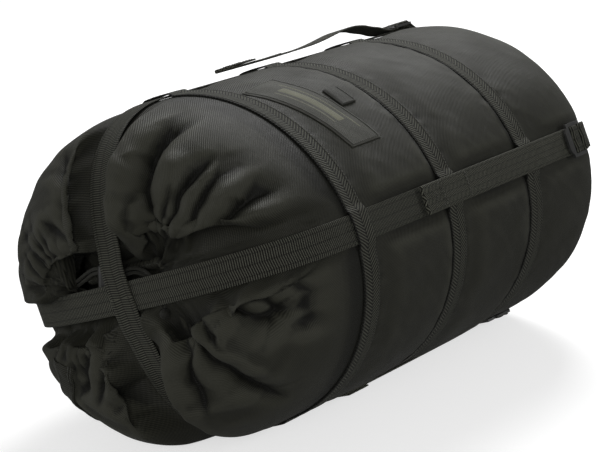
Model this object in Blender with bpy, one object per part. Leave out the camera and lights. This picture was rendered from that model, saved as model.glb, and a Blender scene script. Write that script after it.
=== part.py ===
"""Compression sack: a packed fabric sack lying on its side, squeezed by two crossing webbing straps.

The sack's axis runs along +X from the gathered mouth to the closed back, and z = 0 is the surface it
lies on. Stations along the axis are measured from the front edge of the front band. Angles go round
the axis, from +Y towards +Z.
"""
import math

import bmesh
import bpy
from mathutils import Vector

# Sack body, metres
HALF_WIDTH = 0.153
HALF_HEIGHT = 0.141
MEAN_RADIUS = 0.147
AXIS_HEIGHT = 0.1436
FRONT_BAND_X = -0.1453
MOUTH_DEPTH = 0.140
MOUTH_POWER = 2.7
MOUTH_FULLER = 0.9
FULLEST_ANGLE = 300.0
BACK_DEPTH = 0.168
BACK_POWER = 5.0
BULGE = 0.005
SHELL = 0.001
FILL_GAP = 0.0022
GAP = 0.0003

# Bands round the sack
BAND_WIDTH = 0.022
BAND_THICK = 0.0015
BAND_STATIONS = {"front_band": 0.0, "middle_band": 0.1305, "rear_band": 0.259}
BACK_SEAM_SCALE = 0.85
REAR_PANEL_END = 0.4075

# Webbing straps
STRAP_WIDTH = 0.025
STRAP_THICK = 0.0016
STRAP_ANGLES = {"top": 67.5, "side": 157.5, "bottom": 247.5, "far": 337.5}
CROSS_DEPTH = 0.113
CROSS_POWER = 2.35
CROSS_SQUARER = 0.75
STRAP_BED = 0.0035
VALLEY_EDGE = 0.015
VALLEY_BANK = 0.030
LOAD_END = 0.0102

# Ladder lock, measured from the front edge of its front bar
LOCK_STATION = 0.340
LOCK_FLOOR = 0.0041
LOCK_THICK = 0.0024
LOCK_WIDTH = 0.032
RAIL_WIDTH = 0.0031
FRONT_BAR = 0.004
MIDDLE_BAR = (0.0095, 0.0135)
REAR_BAR = (0.02065, 0.02285)
TAB_REACH = 0.006
TAB_RISE = 0.0014
TAB_HALF_WIDTH = 0.008

# Free ends of the straps
TAIL_LOW = 0.0030
TAIL_HIGH = 0.0054
LOOP_END = 0.095
LOOP_START = 0.125

# Mouth: hem, cords and cord lock, in the plane across the axis
HEM_CENTRE = (0.0161, 0.0074)
HEM_STRAIGHT = 0.0398
HEM_RADIUS = 0.0062
HEM_X = -0.093
HEM_TUBE = 0.0045
HEM_BORE = 0.0026
HEM_TILT = -22.5
HEM_ENDS = (39.5, 307.5)
CORD_RADIUS = 0.0015
BARREL_RADIUS = 0.0065
BARREL_LENGTH = 0.023
BARREL_AT = (-0.1046, 0.0263, -0.003)
PLUNGER_RADIUS = 0.0037
PLUNGER_BORE = 0.004
CORD_PITCH = 0.0018
CORD_LEVEL = 0.0166
KNOT_RADIUS = 0.0042

# Patch, tag and seam strip: corners as stations and angles
PATCH_ANGLES = (93.7, 132.8)
PATCH_STATIONS = (0.027, 0.050)
PATCH_WIDTH = 0.0405
TAG_ANGLES = (109.0, 117.0)
TAG_STATIONS = (0.0835, 0.104)
BINDING_HALF = 0.0105
BINDING_REACH = (0.57, 0.965)

STRAP_OFFSETS = (0, 6, 14, 24, 34.5, 45, 55.5, 66, 76, 84)
REST_ANGLES = (258, 264, 270, 276)
MOUTH_ROWS = (0.985, 0.95, 0.88, 0.78, 0.66, 0.54)
HEM_ROWS = (0.35, 0.7, 1.0)


def material(name, colour, roughness, metallic=0.0):
    """A plain Principled material."""
    made = bpy.data.materials.get(name)
    if made:
        return made
    made = bpy.data.materials.new(name)
    made.use_nodes = True
    shader = made.node_tree.nodes["Principled BSDF"]
    shader.inputs["Base Color"].default_value = (*colour, 1.0)
    shader.inputs["Roughness"].default_value = roughness
    shader.inputs["Metallic"].default_value = metallic
    return made


def nylon():
    return material("sack_nylon", (0.105, 0.105, 0.09), 0.75)


def webbing():
    return material("webbing", (0.085, 0.087, 0.072), 0.8)


def plastic():
    return material("buckle_plastic", (0.035, 0.036, 0.033), 0.45)


def cord_cover():
    return material("cord_cover", (0.07, 0.07, 0.06), 0.85)


def spring_steel():
    return material("spring_steel", (0.6, 0.6, 0.58), 0.3, 1.0)


def patch_cloth():
    return material("patch_cloth", (0.08, 0.08, 0.065), 0.85)


def filling():
    return material("packed_filling", (0.2, 0.2, 0.17), 0.9)


def smoothstep(value):
    value = min(1.0, max(0.0, value))
    return value * value * (3.0 - 2.0 * value)


def lerp(a, b, share):
    return a + (b - a) * share


def strap_gap(angle):
    """Degrees from this angle to the nearest strap."""
    return abs((angle - STRAP_ANGLES["top"] + 45.0) % 90.0 - 45.0)


def angle_grid():
    """Angles of the sack's faces: fine beside each strap, and on the underside."""
    angles = [(start + step) % 360.0 for start in STRAP_ANGLES.values() for step in STRAP_OFFSETS]
    kept = [a for a in angles if all(abs(a - r) > 3.5 for r in REST_ANGLES)]
    return sorted(kept + list(REST_ANGLES))


def back_scale(station):
    """How much of the full section is left at a station behind the rear band."""
    reach = max(0.0, station - BAND_STATIONS["rear_band"]) / BACK_DEPTH
    return (1.0 - min(1.0, reach) ** BACK_POWER) ** (1.0 / BACK_POWER)


def bulge(station, angle):
    """Height the fabric stands up between two seams; none along a strap or under a band."""
    seams = [s + BAND_WIDTH / 2 for s in BAND_STATIONS.values()] + [REAR_PANEL_END]
    for start, end in zip(seams, seams[1:]):
        low = start + BAND_WIDTH / 2
        high = end - BAND_WIDTH / 2 if end < REAR_PANEL_END else end
        if low < station < high:
            beside = smoothstep((strap_gap(angle) - 6.0) / 8.0)
            return BULGE * math.sin(math.pi * (station - low) / (high - low)) * beside
    return 0.0


def body_point(station, angle, lift=0.0):
    """A point on the sack's side, lift metres off the fabric and never below the resting plane."""
    scale = back_scale(station)
    height = bulge(station, angle) + lift
    turn = math.radians(angle)
    across = (HALF_WIDTH * scale + height) * math.cos(turn)
    up = AXIS_HEIGHT + (HALF_HEIGHT * scale + height) * math.sin(turn)
    return Vector((FRONT_BAND_X + station, across, max(up, -lift if lift < 0 else 0.0)))


def across_strap(angle):
    """The two directions of a strap on the sack's side: outward, and across its width."""
    turn = math.radians(angle)
    outward = Vector((0.0, math.cos(turn) / HALF_WIDTH, math.sin(turn) / HALF_HEIGHT)).normalized()
    return outward, Vector((0.0, -outward.z, outward.y))


def fuller(angle, fullest):
    """How much fuller the packed mouth end is at an angle: 1 at the fullest angle, 0 a quarter turn away."""
    return smoothstep(math.cos(math.radians(angle - fullest)))


def mouth_depth(across, up):
    """Depth of the mouth end at a point across the axis: it billows between the two crossed straps."""
    reach = min(1.0, math.hypot(across / HALF_WIDTH, up / HALF_HEIGHT))
    angle = math.degrees(math.atan2(up, across))
    cross_power = CROSS_POWER + CROSS_SQUARER * fuller(angle, STRAP_ANGLES["far"])
    power = MOUTH_POWER + MOUTH_FULLER * fuller(angle, FULLEST_ANGLE)
    spot = Vector((0.0, across, up))
    clear = min(abs(spot.dot(across_strap(STRAP_ANGLES[leg])[1])) for leg in ("top", "side"))
    valley = CROSS_DEPTH * (1.0 - reach ** cross_power) ** (1.0 / cross_power) - STRAP_BED
    billow = MOUTH_DEPTH * (1.0 - reach ** power) ** (1.0 / power)
    return lerp(valley, max(valley, billow), smoothstep((clear - VALLEY_EDGE) / VALLEY_BANK))


def hem_point(angle, margin):
    """A point round the flattened, gathered hem, margin metres outside its centre line."""
    tilt = math.radians(HEM_TILT)
    turn = math.radians(angle) - tilt
    radius = HEM_RADIUS + margin
    if abs(math.cos(turn)) <= 0.5:
        along = 2.0 * math.cos(turn) * HEM_STRAIGHT
        beside = math.copysign(radius, math.sin(turn))
    else:
        bend = 1.5 * math.atan2(math.sin(turn), abs(math.cos(turn)))
        along = math.copysign(HEM_STRAIGHT + radius * math.cos(bend), math.cos(turn))
        beside = radius * math.sin(bend)
    across = HEM_CENTRE[0] + along * math.cos(tilt) - beside * math.sin(tilt)
    up = HEM_CENTRE[1] + along * math.sin(tilt) + beside * math.cos(tilt)
    return across, up


def mouth_point(reach, gather, angle, inside=0.0):
    """A point on the mouth end; gather runs from 0 on the billow to 1 at the hem."""
    turn = math.radians(angle)
    side = (HALF_WIDTH - inside) * reach * math.cos(turn)
    rise = (HALF_HEIGHT - inside) * reach * math.sin(turn)
    hem_side, hem_rise = hem_point(angle, HEM_TUBE + 0.002 + inside)
    across = lerp(side, hem_side, gather)
    up = lerp(rise, hem_rise, gather)
    hem_depth = -HEM_X - (HEM_TUBE if inside else 0.0)
    depth = lerp(mouth_depth(across, up), hem_depth, smoothstep(gather) ** 1.6) - inside
    return Vector((FRONT_BAND_X - depth, across, AXIS_HEIGHT + up))


def add_object(name, bm, look, smooth=30.0):
    """Finish a mesh as one named object with its own material."""
    bmesh.ops.recalc_face_normals(bm, faces=bm.faces)
    mesh = bpy.data.meshes.new(name)
    bm.to_mesh(mesh)
    bm.free()
    mesh.shade_smooth()
    mesh.set_sharp_from_angle(angle=math.radians(smooth))
    made = bpy.data.objects.new(name, mesh)
    made.data.materials.append(look)
    bpy.context.scene.collection.objects.link(made)
    return made


def skin(rows, close_start=False, close_end=False):
    """Rings of points joined into a surface, with its ends closed where asked."""
    bm = bmesh.new()
    rings = [[bm.verts.new(p) for p in row] for row in rows]
    for lower, upper in zip(rings, rings[1:]):
        for i in range(len(lower)):
            j = (i + 1) % len(lower)
            bm.faces.new((lower[i], lower[j], upper[j], upper[i]))
    if close_start:
        fan(bm, rings[0])
    if close_end:
        fan(bm, rings[-1])
    return bm


def fan(bm, ring):
    """Close a ring with triangles to its middle."""
    middle = bm.verts.new(sum((v.co for v in ring), Vector()) / len(ring))
    for i, vert in enumerate(ring):
        bm.faces.new((vert, ring[(i + 1) % len(ring)], middle))


def thicken(made, thickness):
    """Give a fabric surface its thickness, inward."""
    solid = made.modifiers.new("cloth", "SOLIDIFY")
    solid.thickness = thickness
    solid.offset = -1.0
    solid.use_even_offset = True
    return made


def tube_panel(name, stations):
    """A stretch of the sack's side between two seams."""
    rows = [[body_point(s, a) for a in angle_grid()] for s in stations]
    return thicken(add_object(name, skin(rows), nylon()), SHELL)


def mouth_panel():
    """The mouth end: from the front band over the billows down to the gathered hem."""
    seam = BAND_WIDTH / 2 - GAP
    rows = [[body_point(s, a) for a in angle_grid()] for s in (seam, 0.0)]
    rows += [[mouth_point(r, 0.0, a) for a in angle_grid()] for r in MOUTH_ROWS]
    rows += [[mouth_point(MOUTH_ROWS[-1], g, a) for a in angle_grid()] for g in HEM_ROWS]
    return thicken(add_object("mouth_panel", skin(rows), nylon()), SHELL)


def back_point(scale, angle, inside=0.0):
    """A point on the closed back, at a share of the full section."""
    depth = BACK_DEPTH * (1.0 - scale ** BACK_POWER) ** (1.0 / BACK_POWER) - inside
    turn = math.radians(angle)
    x = FRONT_BAND_X + BAND_STATIONS["rear_band"] + depth
    return Vector((x, HALF_WIDTH * scale * math.cos(turn),
                   AXIS_HEIGHT + HALF_HEIGHT * scale * math.sin(turn)))


def back_panel():
    """The round panel that closes the back."""
    rows = [[back_point(s, a) for a in angle_grid()] for s in (BACK_SEAM_SCALE, 0.8, 0.7, 0.5, 0.25)]
    return thicken(add_object("back_panel", skin(rows, close_end=True), nylon()), SHELL)


def side_panels():
    """The three fabric tubes between and behind the bands."""
    middle = [s + BAND_WIDTH / 2 for s in BAND_STATIONS.values()]
    for name, start, end in (("front_tube_panel", middle[0], middle[1]),
                             ("middle_tube_panel", middle[1], middle[2])):
        low = start + BAND_WIDTH / 2
        high = end - BAND_WIDTH / 2
        inner = [lerp(low, high, share) for share in (0.0, 0.27, 0.5, 0.73, 1.0)]
        tube_panel(name, [start + GAP] + inner + [end - GAP])
    rear = [middle[2] + GAP, middle[2] + BAND_WIDTH / 2, 0.305, 0.330, 0.352, 0.370, 0.385, 0.397]
    tube_panel("rear_tube_panel", rear + [REAR_PANEL_END - GAP])


def packed_contents():
    """The soft bundle that fills the sack, just inside its fabric."""
    grid = angle_grid()
    inside = SHELL + FILL_GAP
    slack = 3.0 * inside
    rows = [[mouth_point(MOUTH_ROWS[-1], g, a, slack) for a in grid] for g in (1.0, 0.5)]
    rows += [[mouth_point(r, 0.0, a, slack) for a in grid] for r in (0.54, 0.78, 0.92)]
    stations = (0.004, 0.022, 0.0762, 0.1305, 0.1525, 0.206, 0.259, 0.281, 0.33, 0.37)
    rows += [[body_point(s, a, -inside) for a in grid] for s in stations]
    rows += [[back_point(s, a, inside) for a in grid] for s in (0.84, 0.6)]
    add_object("packed_contents", skin(rows, close_start=True, close_end=True), filling())


def band_lift(angle):
    """Height of a band's inner face: it arches over each strap in a sewn tunnel."""
    return lerp(GAP + STRAP_THICK + 0.0008, GAP, smoothstep((strap_gap(angle) - 5.3) / 3.2))


def bands():
    """The three bands of webbing sewn round the sack."""
    arches = {(start + step) % 360.0 for start in STRAP_ANGLES.values() for step in (-8.5, -5.3, 5.3, 8.5)}
    angles = sorted(arches | set(angle_grid()))
    for name, station in BAND_STATIONS.items():
        rows = []
        for share, height in ((0, 0), (1, 0), (1, BAND_THICK), (0, BAND_THICK)):
            at = station + share * BAND_WIDTH
            rows.append([body_point(at, a, band_lift(a) + height) for a in angles])
        add_object(name, skin(rows + rows[:1]), webbing())
        weld(bpy.data.objects[name])


def weld(made):
    """Join the points that a closed loop of rows repeats."""
    bm = bmesh.new()
    bm.from_mesh(made.data)
    bmesh.ops.remove_doubles(bm, verts=bm.verts, dist=1e-6)
    bmesh.ops.recalc_face_normals(bm, faces=bm.faces)
    bm.to_mesh(made.data)
    bm.free()


def ribbon(name, centres, outwards, width_way, look):
    """Flat webbing swept along a path: its centre line, its outward directions and its width's."""
    rows = []
    for centre, outward in zip(centres, outwards):
        half = width_way * STRAP_WIDTH / 2
        rise = outward * STRAP_THICK / 2
        rows.append([centre - half - rise, centre + half - rise, centre + half + rise, centre - half + rise])
    bm = bmesh.new()
    rings = [[bm.verts.new(p) for p in row] for row in rows]
    for lower, upper in zip(rings, rings[1:]):
        for i in range(4):
            j = (i + 1) % 4
            bm.faces.new((lower[i], lower[j], upper[j], upper[i]))
    bm.faces.new(rings[0])
    bm.faces.new(rings[-1])
    return add_object(name, bm, look)


def turned(path):
    """Outward unit directions of a flat path, mitred at each point."""
    ways = []
    for i in range(len(path)):
        sides = []
        for a, b in ((i - 1, i), (i, i + 1)):
            if a >= 0 and b < len(path):
                run = Vector(path[b]) - Vector(path[a])
                sides.append(Vector((-run.y, run.x)).normalized())
        mean = sum(sides, Vector((0.0, 0.0))).normalized()
        ways.append(mean / max(0.5, mean.dot(sides[0])))
    return ways


def strap_piece(name, angle, path):
    """Webbing that stays in the plane of one strap; its path is (station, height) pairs."""
    outward, width_way = across_strap(angle)
    foot = body_point(BAND_STATIONS["middle_band"], angle)
    foot.x = FRONT_BAND_X
    centres = [foot + Vector((s, 0.0, 0.0)) + outward * h for s, h in path]
    outwards = [Vector((w.x, 0.0, 0.0)) + outward * w.y for w in turned(path)]
    return ribbon(name, centres, outwards, width_way, webbing())


def arc(centre, radius, start, end, steps):
    """Points of an arc in a strap's plane, from start to end degrees."""
    turns = [math.radians(lerp(start, end, i / steps)) for i in range(steps + 1)]
    return [(centre[0] + radius * math.cos(t), centre[1] + radius * math.sin(t)) for t in turns]


def lid_strap(name, leg, crossing):
    """One of the two crossed straps: down a side, over the mouth and back along the other side."""
    turn = math.radians(STRAP_ANGLES[leg])
    spoke = Vector((0.0, HALF_WIDTH * math.cos(turn), HALF_HEIGHT * math.sin(turn)))
    end = LOCK_STATION + LOAD_END
    steps = 15
    sweep = [math.pi / 2 * i / steps for i in range(steps + 1)]
    halves = []
    for away in (0.0, 180.0):
        power = CROSS_POWER + CROSS_SQUARER * fuller(STRAP_ANGLES[leg] + away, STRAP_ANGLES["far"])
        half = [(end, 1.0)] + [(-CROSS_DEPTH * math.sin(a) ** (2 / power),
                                max(0.0, math.cos(a)) ** (2 / power)) for a in sweep]
        halves.append([(s, reach * spoke.length) for s, reach in half])
    path = halves[0] + [(s, -r) for s, r in reversed(halves[1][:-1])]
    ways = turned(path)
    ways = [-w if w.dot(Vector((path[i][0] - 0.05, path[i][1]))) < 0 else w for i, w in enumerate(ways)]
    out = spoke.normalized()
    centres = []
    outwards = []
    for (station, reach), way in zip(path, ways):
        lift = GAP + STRAP_THICK / 2
        lift += crossing * (1.0 - smoothstep((abs(reach) - 0.022) / 0.020))
        outward = Vector((way.x, 0.0, 0.0)) + out * way.y
        spot = Vector((FRONT_BAND_X + station, 0.0, AXIS_HEIGHT)) + out * reach
        centres.append(spot + outward * lift)
        outwards.append(outward)
    return ribbon(name, centres, outwards, across_strap(STRAP_ANGLES[leg])[1], webbing())


def lock_mesh():
    """A ladder lock lying flat, its rear bar on the local Y axis and its tab towards -X."""
    slots = {(3, 1), (5, 1)}
    along = (-TAB_REACH, -TAB_REACH / 2, 0.0, FRONT_BAR, *MIDDLE_BAR, *REAR_BAR)
    across = (-LOCK_WIDTH / 2, RAIL_WIDTH - LOCK_WIDTH / 2, LOCK_WIDTH / 2 - RAIL_WIDTH, LOCK_WIDTH / 2)
    pivot = sum(REAR_BAR) / 2
    bm = bmesh.new()

    def corner(x, y, top):
        share = max(0.0, -x / TAB_REACH)
        side = math.copysign(lerp(abs(y), TAB_HALF_WIDTH, share ** 2), y)
        return bm.verts.new((x - pivot, side, (top - 0.5) * LOCK_THICK + TAB_RISE * share))

    grid = [[[corner(x, y, top) for top in (0, 1)] for y in across] for x in along]
    filled = {(0, 1), (1, 1)} | {(i, j) for i in range(2, 7) for j in range(3)} - slots
    for i, j in filled:
        for top in (0, 1):
            bm.faces.new([grid[a][b][top] for a, b in ((i, j), (i + 1, j), (i + 1, j + 1), (i, j + 1))])
        walls = {(-1, 0): ((0, 0), (0, 1)), (1, 0): ((1, 0), (1, 1)),
                 (0, -1): ((0, 0), (1, 0)), (0, 1): ((0, 1), (1, 1))}
        for (di, dj), ends in walls.items():
            if (i + di, j + dj) not in filled:
                a, b = [grid[i + x][j + y] for x, y in ends]
                bm.faces.new((a[0], b[0], b[1], a[1]))
    loose = [v for v in bm.verts if not v.link_faces]
    bmesh.ops.delete(bm, geom=loose, context="VERTS")
    return bm


def ladder_lock(leg):
    """A ladder lock on its strap, with its origin on the rear bar that it tilts about."""
    made = add_object("ladder_lock_" + leg, lock_mesh(), plastic())
    outward = across_strap(STRAP_ANGLES[leg])[0]
    foot = body_point(BAND_STATIONS["middle_band"], STRAP_ANGLES[leg])
    foot.x = FRONT_BAND_X + LOCK_STATION + sum(REAR_BAR) / 2
    made.location = foot + outward * (LOCK_FLOOR + LOCK_THICK / 2)
    made.rotation_euler = (math.atan2(-outward.y, outward.z), 0.0, 0.0)


def strap_wrap(leg):
    """The strap's turn round the middle bar, from the load side up and back to the free end."""
    lock = LOCK_STATION
    floor = GAP + STRAP_THICK / 2
    over = LOCK_FLOOR + LOCK_THICK + GAP + STRAP_THICK / 2
    path = [(lock + 0.0110, floor), (lock + 0.0146, floor + 0.0003), (lock + 0.0163, 0.0034),
            (lock + 0.0163, over - 0.0016), (lock + 0.0148, over), (lock + 0.0084, over),
            (lock + 0.0067, over - 0.0016), (lock + 0.0067, 0.0044), (lock + 0.0050, TAIL_LOW)]
    strap_piece("strap_wrap_" + leg, STRAP_ANGLES[leg], path)


def strap_tail(leg):
    """The free end of a strap, lying on the strap's load side from the lock to its loop."""
    band = BAND_STATIONS["rear_band"]
    path = [(LOCK_STATION + 0.0038, TAIL_LOW), (band + BAND_WIDTH + 0.022, TAIL_LOW),
            (band + BAND_WIDTH + 0.010, TAIL_HIGH), (LOOP_START + GAP, TAIL_HIGH)]
    strap_piece("strap_tail_" + leg, STRAP_ANGLES[leg], path)


def pull_loop(leg):
    """The strap's end, folded back on itself to pull on."""
    bend = 0.001
    start = (LOOP_START, TAIL_HIGH)
    centre = (LOOP_END + bend + STRAP_THICK / 2, TAIL_HIGH + bend)
    path = [start] + arc(centre, bend, 270, 90, 4) + [(LOOP_START, TAIL_HIGH + 2 * bend)]
    strap_piece("pull_loop_" + leg, STRAP_ANGLES[leg], path)


def anchor_strap(leg):
    """Webbing looped round a lock's rear bar and sewn down to the back."""
    spoke = body_point(0.0, STRAP_ANGLES[leg]) - Vector((FRONT_BAND_X, 0.0, AXIS_HEIGHT))

    def on_sack(station, lift):
        return (station, lift - (1.0 - back_scale(station)) * spoke.length)

    bar = (LOCK_STATION + sum(REAR_BAR) / 2, LOCK_FLOOR + LOCK_THICK / 2)
    bend = 0.00195 + STRAP_THICK / 2
    stations = (0.402, 0.394, 0.385, 0.375)
    low = 0.0005 + STRAP_THICK / 2
    high = low + STRAP_THICK + 0.0003
    lower = [on_sack(s, low) for s in stations]
    upper = [on_sack(s, high) for s in reversed(stations)]
    path = lower + arc(bar, bend, 290, 70, 8) + upper
    strap_piece("anchor_strap_" + leg, STRAP_ANGLES[leg], path)


def plate(name, look, spot, steps_along, steps_across, base, thick):
    """A thin curved plate; spot(i, j, lift) gives its points over the unit square."""
    bm = bmesh.new()
    sheets = [[[bm.verts.new(spot(i / steps_along, j / steps_across, lift)) for j in range(steps_across + 1)]
               for i in range(steps_along + 1)] for lift in (base, base + thick)]
    for sheet in sheets:
        for i in range(steps_along):
            for j in range(steps_across):
                bm.faces.new((sheet[i][j], sheet[i + 1][j], sheet[i + 1][j + 1], sheet[i][j + 1]))
    rim = [(i, 0) for i in range(steps_along)] + [(steps_along, j) for j in range(steps_across)]
    rim += [(i, steps_across) for i in range(steps_along, 0, -1)] + [(0, j) for j in range(steps_across, 0, -1)]
    for (i, j), (k, m) in zip(rim, rim[1:] + rim[:1]):
        bm.faces.new((sheets[0][i][j], sheets[0][k][m], sheets[1][k][m], sheets[1][i][j]))
    return add_object(name, bm, look)


def label_patch():
    """The sewn patch on the front panel, a little askew."""
    def spot(i, j, lift):
        station = lerp(*PATCH_STATIONS, j) + i * PATCH_WIDTH
        return body_point(station, lerp(*PATCH_ANGLES, j), lift)
    plate("label_patch", patch_cloth(), spot, 4, 8, 0.0007, 0.0008)


def size_tag():
    """The small folded tag beside the patch."""
    def spot(i, j, lift):
        return body_point(lerp(*TAG_STATIONS, i), lerp(*TAG_ANGLES, j), lift)
    plate("size_tag", patch_cloth(), spot, 2, 3, 0.0006, 0.0012)


def seam_binding():
    """The stitched strip over the long seam, from the hem out to the front band."""
    angle = (STRAP_ANGLES["bottom"] + STRAP_ANGLES["far"]) / 2

    def spot(i, j, lift):
        reach = lerp(*BINDING_REACH, i)
        lean = math.degrees(lerp(-BINDING_HALF, BINDING_HALF, j) / (MEAN_RADIUS * reach))
        here = mouth_point(reach, 0.0, angle + lean)
        along = mouth_point(reach + 0.01, 0.0, angle + lean) - mouth_point(reach - 0.01, 0.0, angle + lean)
        beside = mouth_point(reach, 0.0, angle + lean + 1) - mouth_point(reach, 0.0, angle + lean - 1)
        return here + beside.cross(along).normalized() * lift
    plate("seam_binding", nylon(), spot, 7, 2, 0.0009, 0.0010)


def smooth_route(points, steps):
    """A smooth curve through the points, as a list of points along it."""
    route = []
    ends = [points[0]] + list(points) + [points[-1]]
    for before, start, stop, after in zip(ends, ends[1:], ends[2:], ends[3:]):
        for k in range(steps):
            t = k / steps
            route.append(0.5 * (2 * start + (stop - before) * t
                                + (2 * before - 5 * start + 4 * stop - after) * t * t
                                + (3 * start - before - 3 * stop + after) * t ** 3))
    return route + [points[-1]]


def cord(name, route, radius):
    """A round cord along a route."""
    curve = bpy.data.curves.new(name, "CURVE")
    curve.dimensions = "3D"
    curve.bevel_depth = radius
    curve.bevel_resolution = 2
    curve.use_fill_caps = True
    spline = curve.splines.new("POLY")
    spline.points.add(len(route) - 1)
    for point, spot in zip(spline.points, route):
        point.co = (*spot, 1.0)
    made = bpy.data.objects.new(name, curve)
    made.data.materials.append(cord_cover())
    bpy.context.scene.collection.objects.link(made)


def hem_spot(angle):
    """The centre of the hem's tunnel at an angle."""
    across, up = hem_point(angle, 0.0)
    return Vector((FRONT_BAND_X + HEM_X, across, AXIS_HEIGHT + up))


def hem_route(start, end, steps):
    """The centre line of the gathered hem between two angles."""
    return [hem_spot(lerp(start, end, i / steps)) for i in range(steps + 1)]


def mouth_hem():
    """The hem's tunnel round the gathered mouth, open where the cord comes out."""
    route = hem_route(*HEM_ENDS, 32)
    sides = 8
    rows = []
    for radius in (HEM_TUBE, HEM_BORE):
        tube = []
        for i, spot in enumerate(route):
            way = (route[min(i + 1, len(route) - 1)] - route[max(i - 1, 0)]).normalized()
            beside = way.cross(Vector((1.0, 0.0, 0.0)))
            turns = [2 * math.pi * k / sides for k in range(sides)]
            tube.append([spot + beside * (radius * math.cos(t)) + Vector((radius * math.sin(t), 0.0, 0.0))
                         for t in turns])
        rows.append(tube)
    closed = rows[0] + rows[1][::-1] + rows[0][:1]
    add_object("mouth_hem", skin(closed), nylon())
    weld(bpy.data.objects["mouth_hem"])


def drawcord():
    """The cord held inside the hem."""
    route = hem_route(*HEM_ENDS, 40)
    cord("drawcord", route, CORD_RADIUS)


def cylinder(bm, radius, low, high, sides=16):
    """An upright cylinder between two heights."""
    rings = []
    for z in (low, high):
        turns = [2 * math.pi * k / sides for k in range(sides)]
        rings.append([bm.verts.new((radius * math.cos(t), radius * math.sin(t), z)) for t in turns])
    for i in range(sides):
        j = (i + 1) % sides
        bm.faces.new((rings[0][i], rings[0][j], rings[1][j], rings[1][i]))
    bm.faces.new(rings[0])
    bm.faces.new(rings[1])


def box(bm, low, high):
    """A box between two corners."""
    size = Vector(high) - Vector(low)
    made = bmesh.ops.create_cube(bm, size=1.0)
    for vert in made["verts"]:
        vert.co = Vector(low) + Vector([size[k] * (vert.co[k] + 0.5) for k in range(3)])


def cutter(name, build):
    """A tool shape for a Boolean, at the cord lock and left out of the model."""
    bm = bmesh.new()
    build(bm)
    made = add_object(name, bm, plastic())
    made.location = cord_lock_place()
    made.hide_render = True
    made.display_type = "WIRE"
    return made


def cut(made, tool):
    step = made.modifiers.new(tool.name, "BOOLEAN")
    step.operation = "DIFFERENCE"
    step.object = tool


def cord_lock_place():
    return Vector((FRONT_BAND_X + BARREL_AT[0], BARREL_AT[1], AXIS_HEIGHT + BARREL_AT[2]))


def cord_lock():
    """A barrel with a sprung plunger that pinches the two cords crossing it."""
    floor = 0.0015
    stem_low = 0.0095
    stem_high = BARREL_LENGTH + 0.0044
    head = 0.0028
    slot_low = CORD_LEVEL - CORD_PITCH - CORD_RADIUS - GAP
    slot_high = CORD_LEVEL + CORD_PITCH + CORD_RADIUS + GAP
    travel = 0.004
    wide = CORD_RADIUS + GAP
    reach = BARREL_RADIUS * 2

    barrel = bmesh.new()
    cylinder(barrel, BARREL_RADIUS, 0.0, BARREL_LENGTH)
    body = add_object("cord_lock_barrel", barrel, plastic())
    body.location = cord_lock_place()
    cut(body, cutter("tool_bore", lambda bm: cylinder(bm, PLUNGER_BORE, floor, BARREL_LENGTH + 0.01)))
    cut(body, cutter("tool_cord_hole", lambda bm: box(bm, (-wide, -reach, slot_low), (wide, reach, slot_high))))

    plunger = bmesh.new()
    cylinder(plunger, PLUNGER_RADIUS, stem_low, stem_high)
    stem = add_object("cord_lock_plunger", plunger, plastic())
    stem.location = cord_lock_place()
    cap = cutter("tool_head", lambda bm: cylinder(bm, BARREL_RADIUS - 0.0005, stem_high - 0.0002, stem_high + head))
    join = stem.modifiers.new("head", "BOOLEAN")
    join.operation = "UNION"
    join.object = cap
    cut(stem, cutter("tool_plunger_slot",
                     lambda bm: box(bm, (-wide, -reach, slot_low), (wide, reach, slot_high + travel))))
    cord_lock_spring(floor + GAP, stem_low - GAP)


def cord_lock_spring(low, high):
    """The coil that pushes the plunger out."""
    wire = 0.0004
    coil = 0.0028
    turns = 4
    steps = 9 * turns
    route = []
    for k in range(steps + 1):
        turn = 2 * math.pi * turns * k / steps
        rise = lerp(low + wire, high - wire, k / steps)
        route.append(cord_lock_place() + Vector((coil * math.cos(turn), coil * math.sin(turn), rise)))
    cord("cord_lock_spring", route, wire)
    made = bpy.data.objects["cord_lock_spring"]
    made.data.bevel_resolution = 1
    made.data.materials[0] = spring_steel()


def mouth_spot(depth, across, up):
    """A place at the mouth end, in millimetres from the axis and the front band."""
    return Vector((FRONT_BAND_X - depth / 1000, across / 1000, AXIS_HEIGHT + up / 1000))


def cord_tails():
    """The two cord ends: out of the hem, through the lock, behind the straps to one knot."""
    shared = [(103.8, 61, -4.0), (104.6, 56, -0.5), (104.6, 50, 4.3), (104.6, 43, 9.8), (104.6, 36, 13.2),
              (104.6, 30, 13.6), (104.6, 22, 13.6), (104.6, 15, 14.0), (105, 7, 17.0), (105, -4, 21.5),
              (104.6, -15, 21.0), (104.4, -25, 15.5), (104.6, -32.5, 6.5), (109, -38, -2.5)]
    upper = [(93.0, 53.6, -1.4), (93.3, 57.7, -2.2), (95.3, 61.8, -2.9), (99.3, 64, -3.2)]
    lower = [(93.0, 55.8, -13.4), (93.6, 59.4, -11.9), (96.2, 62.3, -10.2), (100.2, 62.6, -8.0)]
    middle = [mouth_spot(*spot) for spot in shared]
    for name, start, side in (("drawcord_tail_upper", upper, 1.0), ("drawcord_tail_lower", lower, -1.0)):
        route = [mouth_spot(*spot) for spot in start]
        for i, spot in enumerate(middle):
            way = (middle[min(i + 1, len(middle) - 1)] - middle[max(i - 1, 0)]).normalized()
            route.append(spot + way.cross(Vector((1.0, 0.0, 0.0))).normalized() * (side * CORD_PITCH))
        cord(name, smooth_route(route, 3), CORD_RADIUS)
    way = (middle[-1] - middle[-2]).normalized()
    cord_knot(middle[-1] + way * (KNOT_RADIUS + GAP))


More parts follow.
